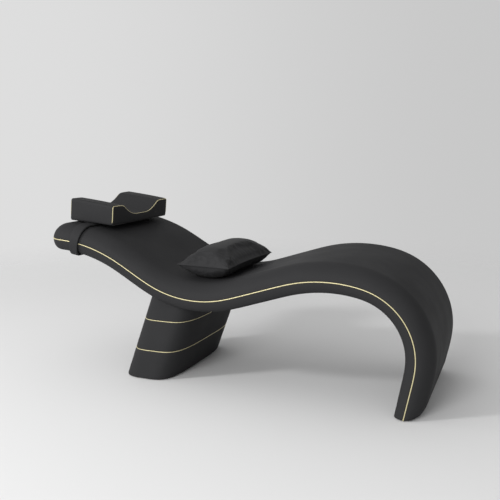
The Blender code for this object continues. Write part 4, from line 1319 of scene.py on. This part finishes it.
class LASHBED_OT_stage(Operator):
    """Sets up the floor, the light and the camera"""

    bl_idname = "lash_bed.stage"
    bl_label = "Stage"

    def floor(self, scene):
        turn = np.arange(FLOOR_SIDES) * 2 * math.pi / FLOOR_SIDES
        rings = together(FLOOR_RADII[:, None] * np.cos(turn), FLOOR_RADII[:, None] * np.sin(turn), 0.0)
        faces = grid_faces(len(FLOOR_RADII), FLOOR_SIDES, False, True)[:, ::-1].tolist()
        mesh = surface("studio_floor", rings, [*faces, tuple(range(FLOOR_SIDES))])
        floor = bpy.data.objects.new("studio_floor", mesh)
        floor.data.materials.append(finish(studio_floor))
        scene.collection.objects.link(floor)

    def backdrop(self, scene, stage):
        """Light from all round, brighter on one side. The camera and mirrors see a grey sweep instead, with
        painted shade: lighter on the left and darker on the right, as the light falls from the left.
        """
        scene.world = bpy.data.worlds.new("studio")
        scene.world.use_nodes = True
        tree = scene.world.node_tree
        lit = tree.nodes["Background"]
        lit.inputs["Color"].default_value = (1.0, 1.0, 1.0, 1.0)
        aim = add_node(tree, "TexCoord").outputs["Generated"]
        left = maths(tree, "DOT_PRODUCT", aim, BRIGHTER_SIDE, kind="VectorMath")
        around = maths(tree, "MULTIPLY_ADD", left, stage.lean, stage.fill)
        tree.links.new(around, lit.inputs["Strength"])
        # The sweep from left to right is painted shade, as the light falls from the left.
        aside = maths(tree, "DOT_PRODUCT", aim, CAMERA_RIGHT, kind="VectorMath")
        sweep = ranged(tree, aside, (-BACKDROP_EDGE, BACKDROP_EDGE), interpolation_type="SMOOTHSTEP")
        grey = blend(tree, sweep, linear(BACKDROP_LIT_LEFT), linear(BACKDROP_SHADED_RIGHT))
        shown = add_node(tree, "Background", {"Color": grey, "Strength": 1.0})
        rays = add_node(tree, "LightPath").outputs
        mirrored = maths(tree, "MAXIMUM", rays["Is Glossy Ray"], rays["Is Transmission Ray"])
        seen = maths(tree, "MAXIMUM", rays["Is Camera Ray"], mirrored)
        inputs = {0: seen, 1: lit.outputs["Background"], 2: shown.outputs["Background"]}
        mixed = add_node(tree, "MixShader", inputs).outputs["Shader"]
        tree.links.new(mixed, tree.nodes["World Output"].inputs["Surface"])

    def lamp(self, scene, name, spot, size, power):
        data = bpy.data.lights.new(name, "AREA")
        data.shape = "DISK"
        data.size = size
        data.energy = power
        lamp = bpy.data.objects.new(name, data)
        scene.collection.objects.link(lamp)
        lamp.location = spot
        lamp.rotation_euler = (Vector(LIGHT_AIM) - Vector(spot)).to_track_quat("-Z", "Y").to_euler()

    def camera(self, scene, stage):
        data = bpy.data.cameras.new("camera")
        data.lens = stage.lens
        data.sensor_width = SENSOR
        scene.camera = bpy.data.objects.new("camera", data)
        scene.collection.objects.link(scene.camera)
        scene.camera.location = stage.spot
        scene.camera.rotation_euler = (math.pi / 2 - stage.pitch, 0.0, stage.turn)

    def execute(self, context):
        scene = context.scene
        stage = scene.lash_bed_stage
        self.floor(scene)
        self.backdrop(scene, stage)
        self.lamp(scene, "key", KEY_SPOT, KEY_SIZE, stage.key)
        self.lamp(scene, "front", FRONT_SPOT, FRONT_SIZE, stage.front)
        self.camera(scene, stage)
        scene.view_settings.view_transform = "Standard"
        return {"FINISHED"}


class LASHBED_PT_panel(Panel):
    """Lists the bed's pieces in the sidebar"""

    bl_label = "Lash Bed"
    bl_idname = "LASHBED_PT_panel"
    bl_space_type = "VIEW_3D"
    bl_region_type = "UI"
    bl_category = "Lash Bed"

    def draw(self, context):
        for operator in OPERATORS:
            self.layout.operator(operator.bl_idname)


GROUPS = {
    "lash_bed_slab": SlabSizes,
    "lash_bed_trim": TrimSizes,
    "lash_bed_pedestal": PedestalSizes,
    "lash_bed_headrest": HeadrestSizes,
    "lash_bed_cushion": CushionSizes,
    "lash_bed_colours": FinishColours,
    "lash_bed_stage": StageSettings,
}
OPERATORS = (
    LASHBED_OT_slab_covers,
    LASHBED_OT_side_piping,
    LASHBED_OT_pedestal,
    LASHBED_OT_headrest,
    LASHBED_OT_headrest_strap,
    LASHBED_OT_headrest_zip,
    LASHBED_OT_cushion,
    LASHBED_OT_frame_finishes,
    LASHBED_OT_stage,
)
CLASSES = (*GROUPS.values(), *OPERATORS, LASHBED_PT_panel)


def register():
    for made in CLASSES:
        bpy.utils.register_class(made)
    for name, group in GROUPS.items():
        setattr(bpy.types.Scene, name, PointerProperty(type=group))


def unregister():
    for name in GROUPS:
        delattr(bpy.types.Scene, name)
    for made in reversed(CLASSES):
        bpy.utils.unregister_class(made)


def main():
    register()
    bpy.ops.lash_bed.slab_covers()
    bpy.ops.lash_bed.side_piping()
    bpy.ops.lash_bed.pedestal()
    bpy.ops.lash_bed.headrest()
    bpy.ops.lash_bed.headrest_strap()
    bpy.ops.lash_bed.headrest_zip()
    bpy.ops.lash_bed.cushion()
    bpy.ops.lash_bed.frame_finishes()
    bpy.ops.lash_bed.stage()


if __name__ == "__main__":
    main()
